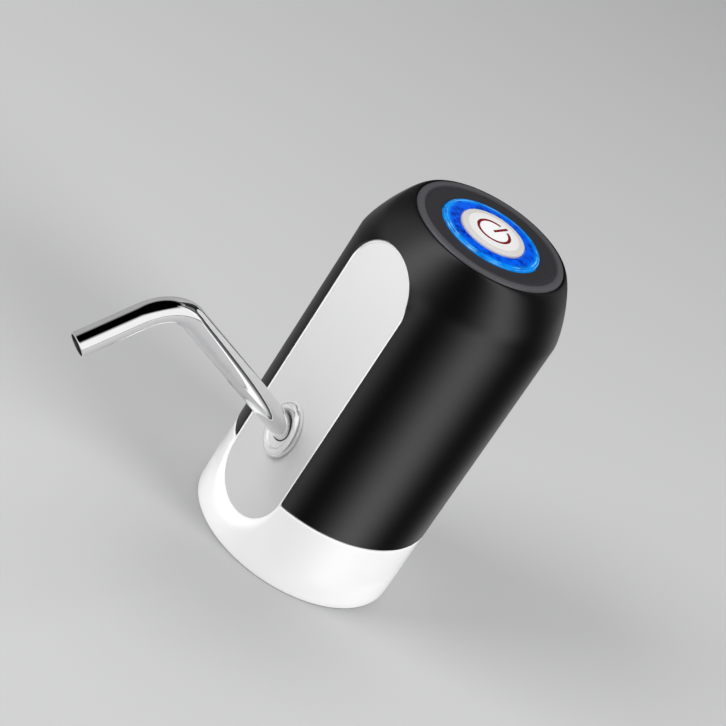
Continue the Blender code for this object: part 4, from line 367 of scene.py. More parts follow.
def turned(name, corners, steps, origin=BODY_AXIS, axis=UPRIGHT, closed=True):
    """A piece turned round an axis from (radius, height) corners, in millimetres.

    A corner may have a third number, the radius that rounds it off.  A closed outline makes a
    ring; an open one starts and ends on the axis.
    """
    places = [origin + Vector((c[0] * MM, 0, 0)) + axis * c[1] * MM for c in corners]
    bpy.ops.object.select_all(action="DESELECT")
    bpy.ops.mesh.primitive_plane_add(size=6 * MM)
    bpy.ops.object.mode_set(mode="EDIT")
    bpy.ops.mesh.select_mode(type="VERT")
    bpy.ops.mesh.select_all(action="SELECT")
    bpy.ops.mesh.merge(type="CENTER")
    bpy.ops.transform.translate(value=places[0])
    for before, after in zip(places, places[1:]):
        bpy.ops.mesh.extrude_region_move(TRANSFORM_OT_translate={"value": after - before})
    if closed:
        bpy.ops.mesh.select_all(action="SELECT")
        work = bmesh.from_edit_mesh(bpy.context.object.data)
        bpy.ops.mesh.select_all(action="DESELECT")
        for vert in work.verts:
            if len(vert.link_edges) == 1:
                vert.select_set(True)
        work.select_flush_mode()
        bpy.ops.mesh.edge_face_add()
    for corner, place in zip(corners, places):
        if len(corner) == 3:
            select_where("verts", lambda co: (co - place).length < MERGE)
            bpy.ops.mesh.bevel(
                offset=corner[2] * MM, offset_type="OFFSET", segments=5, affect="VERTICES",
                clamp_overlap=True,
            )
    bpy.ops.mesh.select_all(action="SELECT")
    bpy.ops.mesh.spin(steps=steps, angle=2 * math.pi, center=origin, axis=axis)
    bpy.ops.mesh.select_all(action="SELECT")
    bpy.ops.mesh.remove_doubles(threshold=MERGE)
    bpy.ops.mesh.normals_make_consistent(inside=False)
    return name_piece(name)


def long_round(name, half_width, low, high, back_y, rings, steps=96):
    """An upright bar with round ends that stands out from the panel towards the front.

    rings are (distance in front of back_y, growth of the outline), in millimetres.
    """
    bpy.ops.object.select_all(action="DESELECT")
    bpy.ops.mesh.primitive_circle_add(
        vertices=steps, radius=half_width, fill_type="NGON",
        location=(0, back_y, low + half_width), rotation=(math.pi / 2, 0, math.pi / 2),
    )
    bpy.ops.object.transform_apply(location=True, rotation=True, scale=True)
    bpy.ops.object.mode_set(mode="EDIT")
    bpy.ops.mesh.select_mode(type="FACE")
    bpy.ops.mesh.select_all(action="SELECT")
    bpy.ops.transform.rotate(
        value=-math.pi / 2, orient_axis="Z", center_override=(0, back_y, low + half_width)
    )
    depth = 0.0
    radius = half_width
    for distance, growth in rings:
        bpy.ops.mesh.extrude_region_move(
            TRANSFORM_OT_translate={"value": (0, -(distance * MM - depth), 0)}
        )
        wider = half_width + growth * MM
        bpy.ops.transform.resize(
            value=(wider / radius, 1, wider / radius),
            center_override=(0, back_y, low + half_width),
        )
        depth = distance * MM
        radius = wider
    middle = low + half_width
    select_where("verts", lambda co: co.z > middle + MERGE)
    bpy.ops.transform.translate(value=(0, 0, high - low - 2 * half_width))
    bpy.ops.mesh.select_all(action="SELECT")
    bpy.ops.mesh.normals_make_consistent(inside=False)
    return name_piece(name)


def slanted_rod(name, radius, low, high, steps=64):
    """A round rod along the spout's axis; heights are measured from the panel."""
    bpy.ops.object.select_all(action="DESELECT")
    bpy.ops.mesh.primitive_cylinder_add(
        vertices=steps, radius=radius, depth=high - low,
        location=SPOUT_ENTRY + SPOUT_AXIS * (low + high) / 2,
        rotation=(math.pi / 2 - SPOUT_RISE, 0, 0),
    )
    return name_piece(name)


def upright_rod(name, radius, low, high, place=BODY_AXIS, steps=48):
    """An upright round rod; all its sizes are in millimetres."""
    bpy.ops.object.select_all(action="DESELECT")
    bpy.ops.mesh.primitive_cylinder_add(
        vertices=steps, radius=radius * MM, depth=(high - low) * MM,
        location=place + UPRIGHT * (low + high) / 2 * MM,
    )
    return name_piece(name)


def box(name, low, high, rounded=0.0):
    """A box between two corners in millimetres from the body's axis; upright edges may be round."""
    low = BODY_AXIS + Vector(low) * MM
    high = BODY_AXIS + Vector(high) * MM
    bpy.ops.object.select_all(action="DESELECT")
    bpy.ops.mesh.primitive_cube_add(size=1, location=(low + high) / 2, scale=high - low)
    bpy.ops.object.transform_apply(location=True, rotation=True, scale=True)
    if rounded:
        bpy.ops.object.mode_set(mode="EDIT")
        bpy.ops.mesh.select_mode(type="EDGE")
        middle_y = (low.y + high.y) / 2
        select_where("edges", lambda co: abs(co.y - middle_y) < MERGE)
        bpy.ops.mesh.bevel(offset=rounded * MM, segments=6, affect="EDGES")
    return name_piece(name)


def on_circle(circle, azimuth, height=0.0):
    """A place on a circle round the body's axis, in millimetres and degrees from the front."""
    azimuth = math.radians(azimuth)
    return BODY_AXIS + Vector((
        circle * math.sin(azimuth), -circle * math.cos(azimuth), height
    )) * MM


def combine(piece, other, operation):
    """Join or cut one solid with another, which is used up."""
    bpy.ops.object.select_all(action="DESELECT")
    bpy.context.view_layer.objects.active = piece
    piece.select_set(True)
    step = piece.modifiers.new(other.name, "BOOLEAN")
    step.operation = operation
    step.object = other
    step.solver = "EXACT"
    bpy.ops.object.modifier_apply(modifier=step.name)
    bpy.data.objects.remove(other, do_unlink=True)


def ease_edges(piece, width, angle=30, segments=3):
    """Round off the sharp edges, shade smooth and even out the normals of flat faces."""
    bpy.ops.object.select_all(action="DESELECT")
    bpy.context.view_layer.objects.active = piece
    piece.select_set(True)
    if width:
        step = piece.modifiers.new("eased_edges", "BEVEL")
        step.width = width
        step.segments = segments
        step.limit_method = "ANGLE"
        step.angle_limit = math.radians(angle)
        step.miter_outer = "MITER_ARC"
        bpy.ops.object.modifier_apply(modifier=step.name)
    bpy.ops.object.shade_smooth_by_angle(angle=math.radians(angle))


def dress(piece, finish, body, slot, *nodes):
    """Give a modelled piece its finish, and let it stand for CAD nodes on their body."""
    piece.data.materials.clear()
    piece.data.materials.append(finish.material)
    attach(piece, body)
    if nodes:
        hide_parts(*nodes)


def coat_node(finish, *names):
    """Give CAD nodes that stay as they are a better finish."""
    for name in names:
        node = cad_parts[name]
        for place in node.material_slots:
            place.material = finish.material


FOOT_TOP = 26 * MM
FOOT_SWEEP = 1.7 * MM
FOOT_CURVE = 1.3
SCOOP_FADE = 5 * MM
THIN_WALL = 0.3 * MM


def foot_sweep(height):
    """How far the panel's foot comes forwards at a height."""
    return FOOT_SWEEP * (max(0, FOOT_TOP - height) / (FOOT_TOP - TONGUE_LOW)) ** FOOT_CURVE


def cut_foot(piece):
    """Cut a flat-faced piece's foot into level strips, so that it can be swept forwards."""
    bpy.ops.object.mode_set(mode="EDIT")
    for level in range(22):
        bpy.ops.mesh.select_all(action="SELECT")
        bpy.ops.mesh.bisect(plane_co=UPRIGHT * (FOOT_TOP - level * 0.75 * MM), plane_no=UPRIGHT)
    bpy.ops.object.mode_set(mode="OBJECT")


def sweep_foot(piece):
    """Bend the foot of a piece of the panel forwards in one long curve."""
    cut_foot(piece)
    for vert in piece.data.vertices:
        vert.co.y -= foot_sweep(vert.co.z)


base = turned("white_base", [
    (0, CEILING_TOP), (SOCKET_OUTER, CEILING_TOP), (SOCKET_OUTER, BASE_WEB),
    (SKIN_INNER, BASE_WEB, 0.5), (SKIN_INNER, BASE_HEIGHT, 0.15), (BODY_RADIUS, BASE_HEIGHT, 0.35),
    *[(BODY_RADIUS, BASE_HEIGHT - 1 - WALL_RING * ring) for ring in range(32)],
    (BODY_RADIUS, 0, 0.6), (SOCKET_RADIUS, 0, 0.4), (SOCKET_RADIUS, SOCKET_DEPTH),
    (0, SOCKET_DEPTH),
], BODY_STEPS, closed=False)
tongue = long_round(
    "tongue", TONGUE_HALF_WIDTH, TONGUE_LOW, TONGUE_HIGH, PANEL_Y + TONGUE_WALL, [(2.7, 0)]
)
backing = turned("ledge_backing", [
    (34.8, 14.6), (34.8, 1.2), (30.5, 1.2), (30.5, 14.6),
], BODY_STEPS)
combine(backing, box("backing_room", (-13.5, -36, 0), (13.5, 0, 26)), "INTERSECT")
combine(base, backing, "UNION")
combine(base, tongue, "UNION")
scoop = long_round(
    "scoop", TONGUE_HALF_WIDTH, TONGUE_LOW, TONGUE_HIGH, PANEL_Y,
    [(0.2, 0.05), (0.6, 0.3), (1.2, 0.72), (1.8, 1.15), (2.4, 1.62), (2.9, 2.08), (3.3, 2.55),
     (3.6, 3.05), (3.8, 3.6), (3.92, 4.2), (4.02, 5.0), (4.15, 6.0), (6.0, 7.5)],
)
cut_foot(scoop)
for vert in scoop.data.vertices:
    depth = PANEL_Y - vert.co.y
    if depth < SCOOP_FADE:
        wall_front = math.sqrt(max(0, (BODY_RADIUS * MM) ** 2 - vert.co.x ** 2))
        wall = max(THIN_WALL, wall_front - (AXIS_Y - PANEL_Y))
        share = depth / (BODY_RADIUS * MM - (AXIS_Y - PANEL_Y))
        vert.co.y = PANEL_Y - share * wall - max(0, 1 - share) * foot_sweep(vert.co.z)
combine(base, scoop, "DIFFERENCE")
recess = long_round(
    "recess", TONGUE_HALF_WIDTH - TONGUE_BORDER, TONGUE_LOW + TONGUE_BORDER,
    TONGUE_HIGH - TONGUE_BORDER, PANEL_Y + INLAY_DEPTH, [(5.0, 0)],
)
sweep_foot(recess)
combine(base, recess, "DIFFERENCE")
combine(base, slanted_rod("panel_hole", PANEL_HOLE_RADIUS, -8 * MM, 8 * MM), "DIFFERENCE")
combine(base, upright_rod("shank_hole", 4.7, 20, 30, NIPPLE_AXIS), "DIFFERENCE")
for azimuth in SCREW_AZIMUTHS:
    hole = upright_rod("screw_hole", 1.7, 20, 30, on_circle(SCREW_CIRCLE, azimuth))
    combine(base, hole, "DIFFERENCE")
bpy.ops.object.shade_smooth_by_angle(angle=math.radians(30))

white = Finish("white_gloss_plastic", Roughness=0.2, Coat_Weight=0.35, Coat_Roughness=0.06)
tone = white.noise(30 * MM)
white.feed("Base Color", white.mix(tone, (0.89, 0.89, 0.89), (0.93, 0.93, 0.925)))
white.feed("Roughness", 0.2 + 0.05 * white.noise(1.2 * MM))
white.emboss(white.noise(2.5 * MM, 1.0), 0.004 * MM)
dress(base, white, "pump", "white_gloss", "base_housing")

# Front panel.  A thin light grey plastic inlay with round ends, bonded into the tongue's recess,
# with a hair of shadow between it and the tongue's bright edge.
panel = long_round(
    "panel_inlay", TONGUE_HALF_WIDTH - 0.75 * MM, TONGUE_LOW + 0.75 * MM,
    TONGUE_HIGH - 0.75 * MM, PANEL_Y + 1.0 * MM, [(0.92, 0), (1.0, -0.06)],
)
sweep_foot(panel)
combine(panel, slanted_rod("panel_hole", PANEL_HOLE_RADIUS, -8 * MM, 8 * MM), "DIFFERENCE")
bpy.ops.object.shade_smooth_by_angle(angle=math.radians(30))

panel_grey = Finish("light_grey_plastic", Roughness=0.42)
# The panel's grey is painted darker towards its foot and lighter towards its top: painted shade.
painted_shade_up_panel = panel_grey.ramp(panel_grey.part("Z"), TONGUE_LOW, TONGUE_HIGH)
panel_grey.feed("Base Color", panel_grey.mix(painted_shade_up_panel, (0.52, 0.52, 0.52), (0.7, 0.7, 0.7)))
panel_grey.feed("Roughness", 0.4 + 0.08 * panel_grey.noise(0.5 * MM))
panel_grey.emboss(panel_grey.noise(0.35 * MM), 0.003 * MM)
dress(panel, panel_grey, "pump", "panel_grey", "front_panel")

# Black cover.  A tube of satin black ABS with a rounded shoulder, slotted up the front for the
# panel's tongue, with a charging port at the back and a lip that snaps into the base.
SHELL_LOW = 26.8
SHELL_TOP = 128.86
FLANGE_TOP = 126.26
FLANGE_LOW = 124.26
SHOULDER_START = 109.0
SHELL_TOP_RADIUS = 27.0
SHOULDER_POWER = 1.27
SHOULDER_STEPS = 26
SHELL_WALL = 2.0
SLOT_GAP = 0.15 * MM
SLOT_HALF_WIDTH = TONGUE_HALF_WIDTH + SLOT_GAP
SLOT_CORNER = 1.3
PORT_Z = 40.85


def shoulder(height, inset=0.0):
    """Radius of the cover at a height on its rounded shoulder, in millimetres."""
    rise = (height - SHOULDER_START) / (SHELL_TOP - SHOULDER_START)
    drop = 1 - max(0.0, 1 - rise ** SHOULDER_POWER) ** (1 / SHOULDER_POWER)
    return BODY_RADIUS - inset - (BODY_RADIUS - SHELL_TOP_RADIUS) * drop


heights = [
    SHELL_TOP - (SHELL_TOP - SHOULDER_START) * (1 - math.cos(math.pi / 2 * i / SHOULDER_STEPS))
    for i in range(SHOULDER_STEPS + 1)
]
cover = turned("black_cover", [
    *[(shoulder(z), z) for z in heights],
    (BODY_RADIUS, SHELL_LOW, 0.35), (33.4, SHELL_LOW), (33.4, 22.8), (32, 22.8), (32, 30.3),
    (34, 31.7),
    *[(shoulder(z, SHELL_WALL), z) for z in reversed(heights) if z < FLANGE_LOW],
    (shoulder(FLANGE_LOW, SHELL_WALL), FLANGE_LOW),
    (19.1, FLANGE_LOW), (19.1, FLANGE_TOP), (26.5, FLANGE_TOP), (26.5, SHELL_TOP),
], BODY_STEPS)
for side in (-1, 1):
    boss_place = BODY_AXIS + Vector((side * 22.2 * MM, 0, 0))
    combine(cover, upright_rod("boss", 2.4, 115.3, 125.26, boss_place), "UNION")
    combine(cover, upright_rod("boss_hole", 1.15, 111, 120.2, boss_place), "DIFFERENCE")
slot = long_round(
    "slot", SLOT_HALF_WIDTH, -20 * MM, TONGUE_HIGH + SLOT_GAP, PANEL_Y + 2.4 * MM, [(12.0, 0)]
)
combine(cover, slot, "DIFFERENCE")
for side in (-1, 1):
    near = side * SLOT_HALF_WIDTH / MM
    far = near + side * SLOT_CORNER
    beyond = far + side * 2
    corner = box(
        "corner", (min(near, far) - 0.1, -40, SHELL_LOW - 0.2),
        (max(near, far) + 0.1, -25, SHELL_LOW + SLOT_CORNER),
    )
    bpy.ops.object.select_all(action="DESELECT")
    bpy.ops.mesh.primitive_cylinder_add(
        vertices=48, radius=SLOT_CORNER * MM, depth=30 * MM, rotation=(math.pi / 2, 0, 0),
        location=BODY_AXIS + Vector((far, -32, SHELL_LOW + SLOT_CORNER)) * MM,
    )
    combine(corner, name_piece("corner_round"), "DIFFERENCE")
    outer_half = box("outer_half", (min(far, beyond), -41, 26), (max(far, beyond), -24, 30))
    combine(corner, outer_half, "DIFFERENCE")
    combine(cover, corner, "DIFFERENCE")
port = box("port", (-5.2, 30, PORT_Z - 3.2), (5.2, 40, PORT_Z + 3.2), 1.3)
combine(cover, port, "DIFFERENCE")
bpy.ops.object.shade_smooth_by_angle(angle=math.radians(30))

black = Finish("black_gloss_plastic", Roughness=0.25)
black.feed("Base Color", black.mix(
    black.noise(12 * MM), (0.0016, 0.0016, 0.0018), (0.0024, 0.0024, 0.0026)
))
black.feed("Roughness", 0.2 + 0.06 * black.noise(0.8 * MM))
black.emboss(black.noise(0.4 * MM, 1.0), 0.0015 * MM)
dress(cover, black, "pump", "black_gloss", "upper_shell")

# Top bezel.  A dark grey ABS ring that drops into the cover's recess: a rounded rim outside, a
# fine crease, and a slightly lower flat round the light ring.
RIM_INNER = 23.6
RIM_FADE = 0.5
bezel = turned("bezel_ring", [
    (17.5, 126.56), (17.5, 129.3, 0.2), (22.7, 129.3, 0.2), (23.1, 129.0, 0.15), (23.4, 129.0, 0.15),
    (23.8, 129.5, 0.3), (24.9, 129.6, 0.6), (26.2, 129.2, 0.7), (26.2, 126.56, 0.15),
], BODY_STEPS)
bpy.ops.object.shade_smooth_by_angle(angle=math.radians(40))

dark_grey = Finish("dark_grey_plastic", Roughness=0.38)
# The rounded rim is painted lighter than the flat inside it: a painted sheen where the rim catches
# the light.
painted_rim_sheen = dark_grey.ramp(
    dark_grey.from_body_axis(), (RIM_INNER - RIM_FADE) * MM, (RIM_INNER + RIM_FADE) * MM
)
dark_grey.feed("Base Color", dark_grey.mix(painted_rim_sheen, (0.02, 0.019, 0.021), (0.05, 0.049, 0.054)))
dark_grey.feed("Roughness", 0.34 + 0.1 * dark_grey.noise(0.4 * MM))
dark_grey.emboss(dark_grey.noise(0.25 * MM), 0.004 * MM)
dress(bezel, dark_grey, "pump", "dark_grey", "top_bezel")

# Light ring.  A clear blue polycarbonate lens with a crystal-cut underside, held by its flange
# below the cover, with a guide that reaches down to the light sources on the board.
RING_INNER = 11.65
RING_RADIUS = 17.1
ring = turned("light_ring_lens", [
    (16.8, 117.5), (13.8, 117.5), (13.8, 124.8), (RING_INNER, 124.8), (RING_INNER, 130.15, 0.3),
    (12.6, 130.1, 0.3), (14.6, 129.85, 0.6), (16.3, 129.8, 0.3), (RING_RADIUS, 129.6, 0.3),
    (RING_RADIUS, 126.26), (18.8, 126.26), (18.8, 124.8), (16.8, 124.8),
], BODY_STEPS)
bpy.ops.object.shade_smooth_by_angle(angle=math.radians(40))

blue = Finish("blue_lens", Roughness=0.1, Coat_Weight=0.3, Coat_Roughness=0.03,
              Emission_Strength=1.0)
across = blue.ramp(blue.from_body_axis(), RING_INNER * MM, RING_RADIUS * MM)
facets = blue.node("TexVoronoi", {"feature": "F1"}, "Distance", {
    "Vector": blue.place, "Scale": 1 / (2.2 * MM), "Randomness": 1.0,
})
splinters = blue.node("TexVoronoi", {"feature": "F2"}, "Distance", {
    "Vector": blue.place, "Scale": 1 / (0.8 * MM), "Randomness": 1.0,
})
crystal = blue.ramp(facets * 0.6 + splinters * 0.4 + blue.noise(4 * MM) * 0.9, 0.68, 1.18)
deep = blue.mix(crystal, (0.0, 0.004, 0.22), (0.0, 0.085, 0.7))
outer_band = blue.ramp(across + 0.3 * blue.noise(9 * MM), 0.72, 0.92)
azure = blue.mix(crystal, (0.0, 0.12, 0.52), (0.0, 0.25, 0.74))
body_light = blue.mix(outer_band, deep, azure)
edge_line = (
    blue.ramp(across, 0.93, 0.97) * blue.ramp(across, 1.0, 0.975)
    + blue.ramp(across, 0.77, 0.8) * blue.ramp(across, 0.85, 0.82)
) * blue.ramp(blue.noise(5 * MM), 0.47, 0.67, 0.0, 0.75)
light = blue.mix(edge_line, body_light, (0.35, 0.85, 1.0))
blue.feed("Base Color", blue.mix(crystal, (0.0, 0.004, 0.05), (0.0, 0.02, 0.12)))
blue.feed("Emission Color", light)
blue.emboss(facets, 0.05 * MM, 0.5)
dress(ring, blue, "pump", "blue_lens", "light_ring")

# Power button.  A white ABS cap with a slightly sloping band, painted grey as shade, round a flat
# disc, a skirt with a catch below, and the slots through which the red mark shows.
BUTTON_RADIUS = 11.3
BUTTON_TOP = 130.9
FACE_LOW = 128.9
MARK_RADIUS = 5.55
MARK_STROKE = 0.78
MARK_BAR = 7.0
MARK_OPENING = 36
MARK_TURN = 13
MARK_CLEARANCE = 0.15


def mark_arc(name, margin, low, high):
    """The mark's open ring as a solid, wider by a margin on every side."""
    half = MARK_STROKE / 2 + margin
    slack = math.degrees(margin / MARK_RADIUS)
    start_place = BODY_AXIS + Vector((MARK_RADIUS, 0, (low + high) / 2)) * MM
    start = math.radians(90 + MARK_TURN + MARK_OPENING / 2 - slack)
    sweep = math.radians(360 - MARK_OPENING + 2 * slack)
    bpy.ops.object.select_all(action="DESELECT")
    bpy.ops.mesh.primitive_plane_add(size=1, location=start_place, rotation=(math.pi / 2, 0, 0))
    bpy.ops.object.transform_apply(location=True, rotation=True, scale=True)
    bpy.ops.object.mode_set(mode="EDIT")
    bpy.ops.mesh.select_all(action="SELECT")
    bpy.ops.transform.resize(
        value=(2 * half * MM, 1, (high - low) * MM), center_override=start_place
    )
    bpy.ops.transform.rotate(value=-start, orient_axis="Z", center_override=BODY_AXIS)
    bpy.ops.mesh.spin(steps=72, angle=sweep, center=BODY_AXIS, axis=-UPRIGHT)
    bpy.ops.mesh.select_all(action="SELECT")
    bpy.ops.mesh.remove_doubles(threshold=MERGE)
    work = bmesh.from_edit_mesh(bpy.context.object.data)
    bpy.ops.mesh.select_all(action="DESELECT")
    for edge in work.edges:
        if edge.is_boundary:
            edge.select_set(True)
    if any(edge.select for edge in work.edges):
        bpy.ops.mesh.edge_face_add()
    bpy.ops.mesh.select_all(action="SELECT")
    bpy.ops.mesh.normals_make_consistent(inside=False)
    return name_piece(name)


def mark_bar(name, margin, low, high):
    """The mark's bar as a solid, turned with the mark."""
    half = MARK_STROKE / 2 + margin
    box(name, (-half, -margin, low), (half, MARK_BAR + margin, high))
    bpy.ops.object.mode_set(mode="EDIT")
    bpy.ops.mesh.select_all(action="SELECT")
    bpy.ops.transform.rotate(
        value=-math.radians(MARK_TURN), orient_axis="Z", center_override=BODY_AXIS
    )
    return name_piece(name)


button = turned("button_cap", [
    (0, BUTTON_TOP), (9.0, BUTTON_TOP, 0.12), (9.25, 130.78, 0.1), (10.9, 130.72, 0.2),
    (BUTTON_RADIUS, 130.35, 0.3), (BUTTON_RADIUS, 124.3), (12.5, 124.3), (12.5, 123.3),
    (10.3, 123.3), (10.3, FACE_LOW), (0, FACE_LOW),
], BODY_STEPS, closed=False)
combine(button, mark_arc("arc_slot", MARK_CLEARANCE, 127, 133), "DIFFERENCE")
combine(button, mark_bar("bar_slot", MARK_CLEARANCE, 127, 133), "DIFFERENCE")
bpy.ops.object.shade_smooth_by_angle(angle=math.radians(30))

button_white = Finish("button_white_plastic", Roughness=0.3, Coat_Weight=0.2)
from_middle = button_white.from_body_axis()
# The flat disc is painted darker from its middle outwards, and the sloping band round it is painted
# grey: painted shade.
face = button_white.mix(
    button_white.ramp(from_middle, 4 * MM, 7.5 * MM), (0.62, 0.62, 0.62), (0.53, 0.53, 0.525)
)
painted_shade_band = button_white.ramp(from_middle, 8.95 * MM, 9.15 * MM)
button_white.feed("Base Color", button_white.mix(painted_shade_band, face, (0.44, 0.425, 0.41)))
button_white.feed("Roughness", 0.28 + 0.06 * button_white.noise(0.8 * MM))
button_white.emboss(button_white.noise(0.5 * MM), 0.002 * MM)
dress(button, button_white, "button", "white_gloss", "power_button")

# Power mark.  A dark red plastic insert below the button's face: a disc on the stem that meets the
# switch, with the ring and bar of the mark standing through the face.
insert = turned("mark_insert", [
    (0, 128.6), (8.5, 128.6, 0.2), (8.5, 127.6, 0.2), (2.2, 127.6, 0.3), (2.2, 120.0, 0.3),
    (0, 120.0),
], BODY_STEPS, closed=False)
combine(insert, mark_arc("mark_ring", 0, 128.1, BUTTON_TOP + 0.03), "UNION")
combine(insert, mark_bar("mark_bar", 0, 128.1, BUTTON_TOP + 0.03), "UNION")
bpy.ops.object.shade_smooth_by_angle(angle=math.radians(30))

red = Finish("dark_red_plastic", Roughness=0.4)
red.feed("Base Color", red.mix(red.noise(1.5 * MM), (0.11, 0.002, 0.004), (0.2, 0.004, 0.008)))
red.feed("Roughness", 0.36 + 0.1 * red.noise(0.6 * MM))
dress(insert, red, "button", "red_inlay", "power_symbol")

# Spout.  One stainless steel tube, bent once on a mandrel and polished to a mirror; its lower end
# turns in the swivel sleeve behind the panel, and its open tip is deburred.
SPOUT_RADIUS = 4.0 * MM
SPOUT_WALL = 0.5 * MM
SPOUT_FALL = math.radians(37)
BEND_RADIUS = 16.5 * MM
RISER_LENGTH = 86.5 * MM
NOSE_LENGTH = 32.4 * MM
SPOUT_INSERTION = 14.5 * MM
RISER_STEPS = 16
BEND_STEPS = 36
NOSE_SHARES = (0.04, 0.48, 0.46, 0.02)
NOSE_AXIS = Vector((0, -math.cos(SPOUT_FALL), -math.sin(SPOUT_FALL)))
BEND_ANGLE = SPOUT_RISE + SPOUT_FALL
bend_tangent = BEND_RADIUS * math.tan(BEND_ANGLE / 2)
bend_start = SPOUT_ENTRY + SPOUT_AXIS * (RISER_LENGTH - bend_tangent)
bend_centre = bend_start - BEND_RADIUS * Vector((0, math.sin(SPOUT_RISE), math.cos(SPOUT_RISE)))

bpy.ops.object.select_all(action="DESELECT")
bpy.ops.mesh.primitive_circle_add(
    vertices=72, radius=SPOUT_RADIUS, fill_type="NOTHING",
    location=SPOUT_ENTRY - SPOUT_AXIS * SPOUT_INSERTION,
    rotation=(math.pi / 2 - SPOUT_RISE, 0, 0),
)
bpy.ops.object.transform_apply(location=True, rotation=True, scale=True)
bpy.ops.object.mode_set(mode="EDIT")
bpy.ops.mesh.select_mode(type="EDGE")
bpy.ops.mesh.select_all(action="SELECT")
step = SPOUT_AXIS * (RISER_LENGTH - bend_tangent + SPOUT_INSERTION) / RISER_STEPS
for stretch in range(RISER_STEPS):
    bpy.ops.mesh.extrude_region_move(TRANSFORM_OT_translate={"value": step})
bpy.ops.mesh.spin(steps=BEND_STEPS, angle=BEND_ANGLE, center=bend_centre, axis=(-1, 0, 0))
for share in NOSE_SHARES:
    step = NOSE_AXIS * share * (NOSE_LENGTH - bend_tangent)
    bpy.ops.mesh.extrude_region_move(TRANSFORM_OT_translate={"value": step})
bpy.ops.mesh.select_all(action="SELECT")
bpy.ops.mesh.remove_doubles(threshold=MERGE)
bpy.ops.mesh.normals_make_consistent(inside=False)
spout = name_piece("steel_spout")
for side in ("outside", "bore"):
    spout.data.materials.append(None)
wall = spout.modifiers.new("wall", "SOLIDIFY")
wall.thickness = SPOUT_WALL
wall.offset = -1
wall.material_offset = 1
bpy.ops.object.modifier_apply(modifier=wall.name)
ease_edges(spout, 0.12 * MM, 50, 2)
bore_faces = [face.index for face in spout.data.polygons if face.material_index]

mirror_steel = Finish("polished_steel", Metallic=1.0, Roughness=0.06)
haze = mirror_steel.noise(9 * MM)
mirror_steel.feed("Base Color", mirror_steel.mix(haze, (0.8, 0.8, 0.81), (0.87, 0.87, 0.87)))
mirror_steel.feed("Roughness", 0.03 + 0.03 * mirror_steel.noise(0.7 * MM, 4.0))
mirror_steel.emboss(mirror_steel.noise(3 * MM, 1.0), 0.0008 * MM)
dress(spout, mirror_steel, "spout", "polished_steel", "spout_tube")
# The bore is rougher, unpolished steel, and its colour is painted dark as shade inside the tube.
painted_shade_bore_steel = Finish("unpolished_bore_painted_shade", Metallic=1.0, Roughness=0.4)
painted_shade_bore_steel.feed("Base Color", painted_shade_bore_steel.mix(
    painted_shade_bore_steel.noise(0.6 * MM), (0.1, 0.1, 0.1), (0.2, 0.2, 0.2)
))
painted_shade_bore_steel.feed("Roughness", 0.35 + 0.15 * painted_shade_bore_steel.noise(0.4 * MM))
spout.data.materials.append(painted_shade_bore_steel.material)
for number in bore_faces:
    spout.data.polygons[number].material_index = 1

# Spout collar.  A polished steel escutcheon: a long domed ring that lies on the panel, with a short
# slanted tube through the panel that guides the spout.
COLLAR_HALF_WIDTH = 7.0
COLLAR_HALF_HEIGHT = 10.6
COLLAR_RISE = 2.5
COLLAR_WIDTH = 3.0
FORWARD = Vector((0, -1, 0))
collar_middle = SPOUT_ENTRY + FORWARD * 0.15 * MM
dome = [
    (COLLAR_HALF_WIDTH - COLLAR_WIDTH / 2 * (1 - math.cos(a)), COLLAR_RISE * math.sin(a))
    for a in [math.radians(135) * i / 18 for i in range(19)]
]
collar = turned(
    "collar_ring", [*reversed(dome), (2, 0), (2, 1.7)], 128, collar_middle, FORWARD
)
bpy.ops.object.mode_set(mode="EDIT")
bpy.ops.mesh.select_all(action="SELECT")
bpy.ops.transform.resize(
    value=(1, 1, COLLAR_HALF_HEIGHT / COLLAR_HALF_WIDTH), center_override=collar_middle
)
collar = name_piece("collar_ring")
combine(collar, slanted_rod("collar_tube", 5.3 * MM, -5 * MM, -2.2 * MM, 96), "UNION")
combine(collar, slanted_rod("collar_bore", 4.3 * MM, -20 * MM, 20 * MM, 96), "DIFFERENCE")
ease_edges(collar, 0.18 * MM, 35, 3)
satin_steel = Finish("satin_steel", Metallic=0.75, Roughness=0.2)
satin_steel.feed("Base Color", satin_steel.mix(
    satin_steel.noise(5 * MM), (0.9, 0.9, 0.9), (0.96, 0.96, 0.96)
))
satin_steel.feed("Roughness", 0.18 + 0.08 * satin_steel.noise(0.6 * MM, 4.0))
satin_steel.emboss(satin_steel.noise(0.5 * MM), 0.0006 * MM)
dress(collar, satin_steel, "pump", "polished_steel", "spout_collar")

# Bottle seal.  A grey silicone liner pressed into the base's socket; its three soft lips grip the
# neck of the bottle.
lips = []
for lip in (22.79, 15.06, 7.32):
    lips += [(27.9, lip + 1.0, 0.3), (27.05, lip, 0.35), (27.9, lip - 1.0, 0.3)]
seal = turned("bottle_liner", [
    (27.9, 24.2), *lips, (27.9, 1.0, 0.2), (29.3, 1.0, 0.2), (29.3, 24.2),
], BODY_STEPS)
bpy.ops.object.shade_smooth_by_angle(angle=math.radians(40))

silicone = Finish("grey_silicone", Roughness=0.6, Subsurface_Weight=0.1)
silicone.feed("Base Color", silicone.mix(
    silicone.noise(4 * MM), (0.4, 0.41, 0.42), (0.5, 0.51, 0.52)
))
silicone.feed("Roughness", 0.55 + 0.15 * silicone.noise(0.6 * MM))
silicone.emboss(silicone.noise(0.3 * MM), 0.006 * MM)
dress(seal, silicone, "pump", "silicone", "bottle_seal")

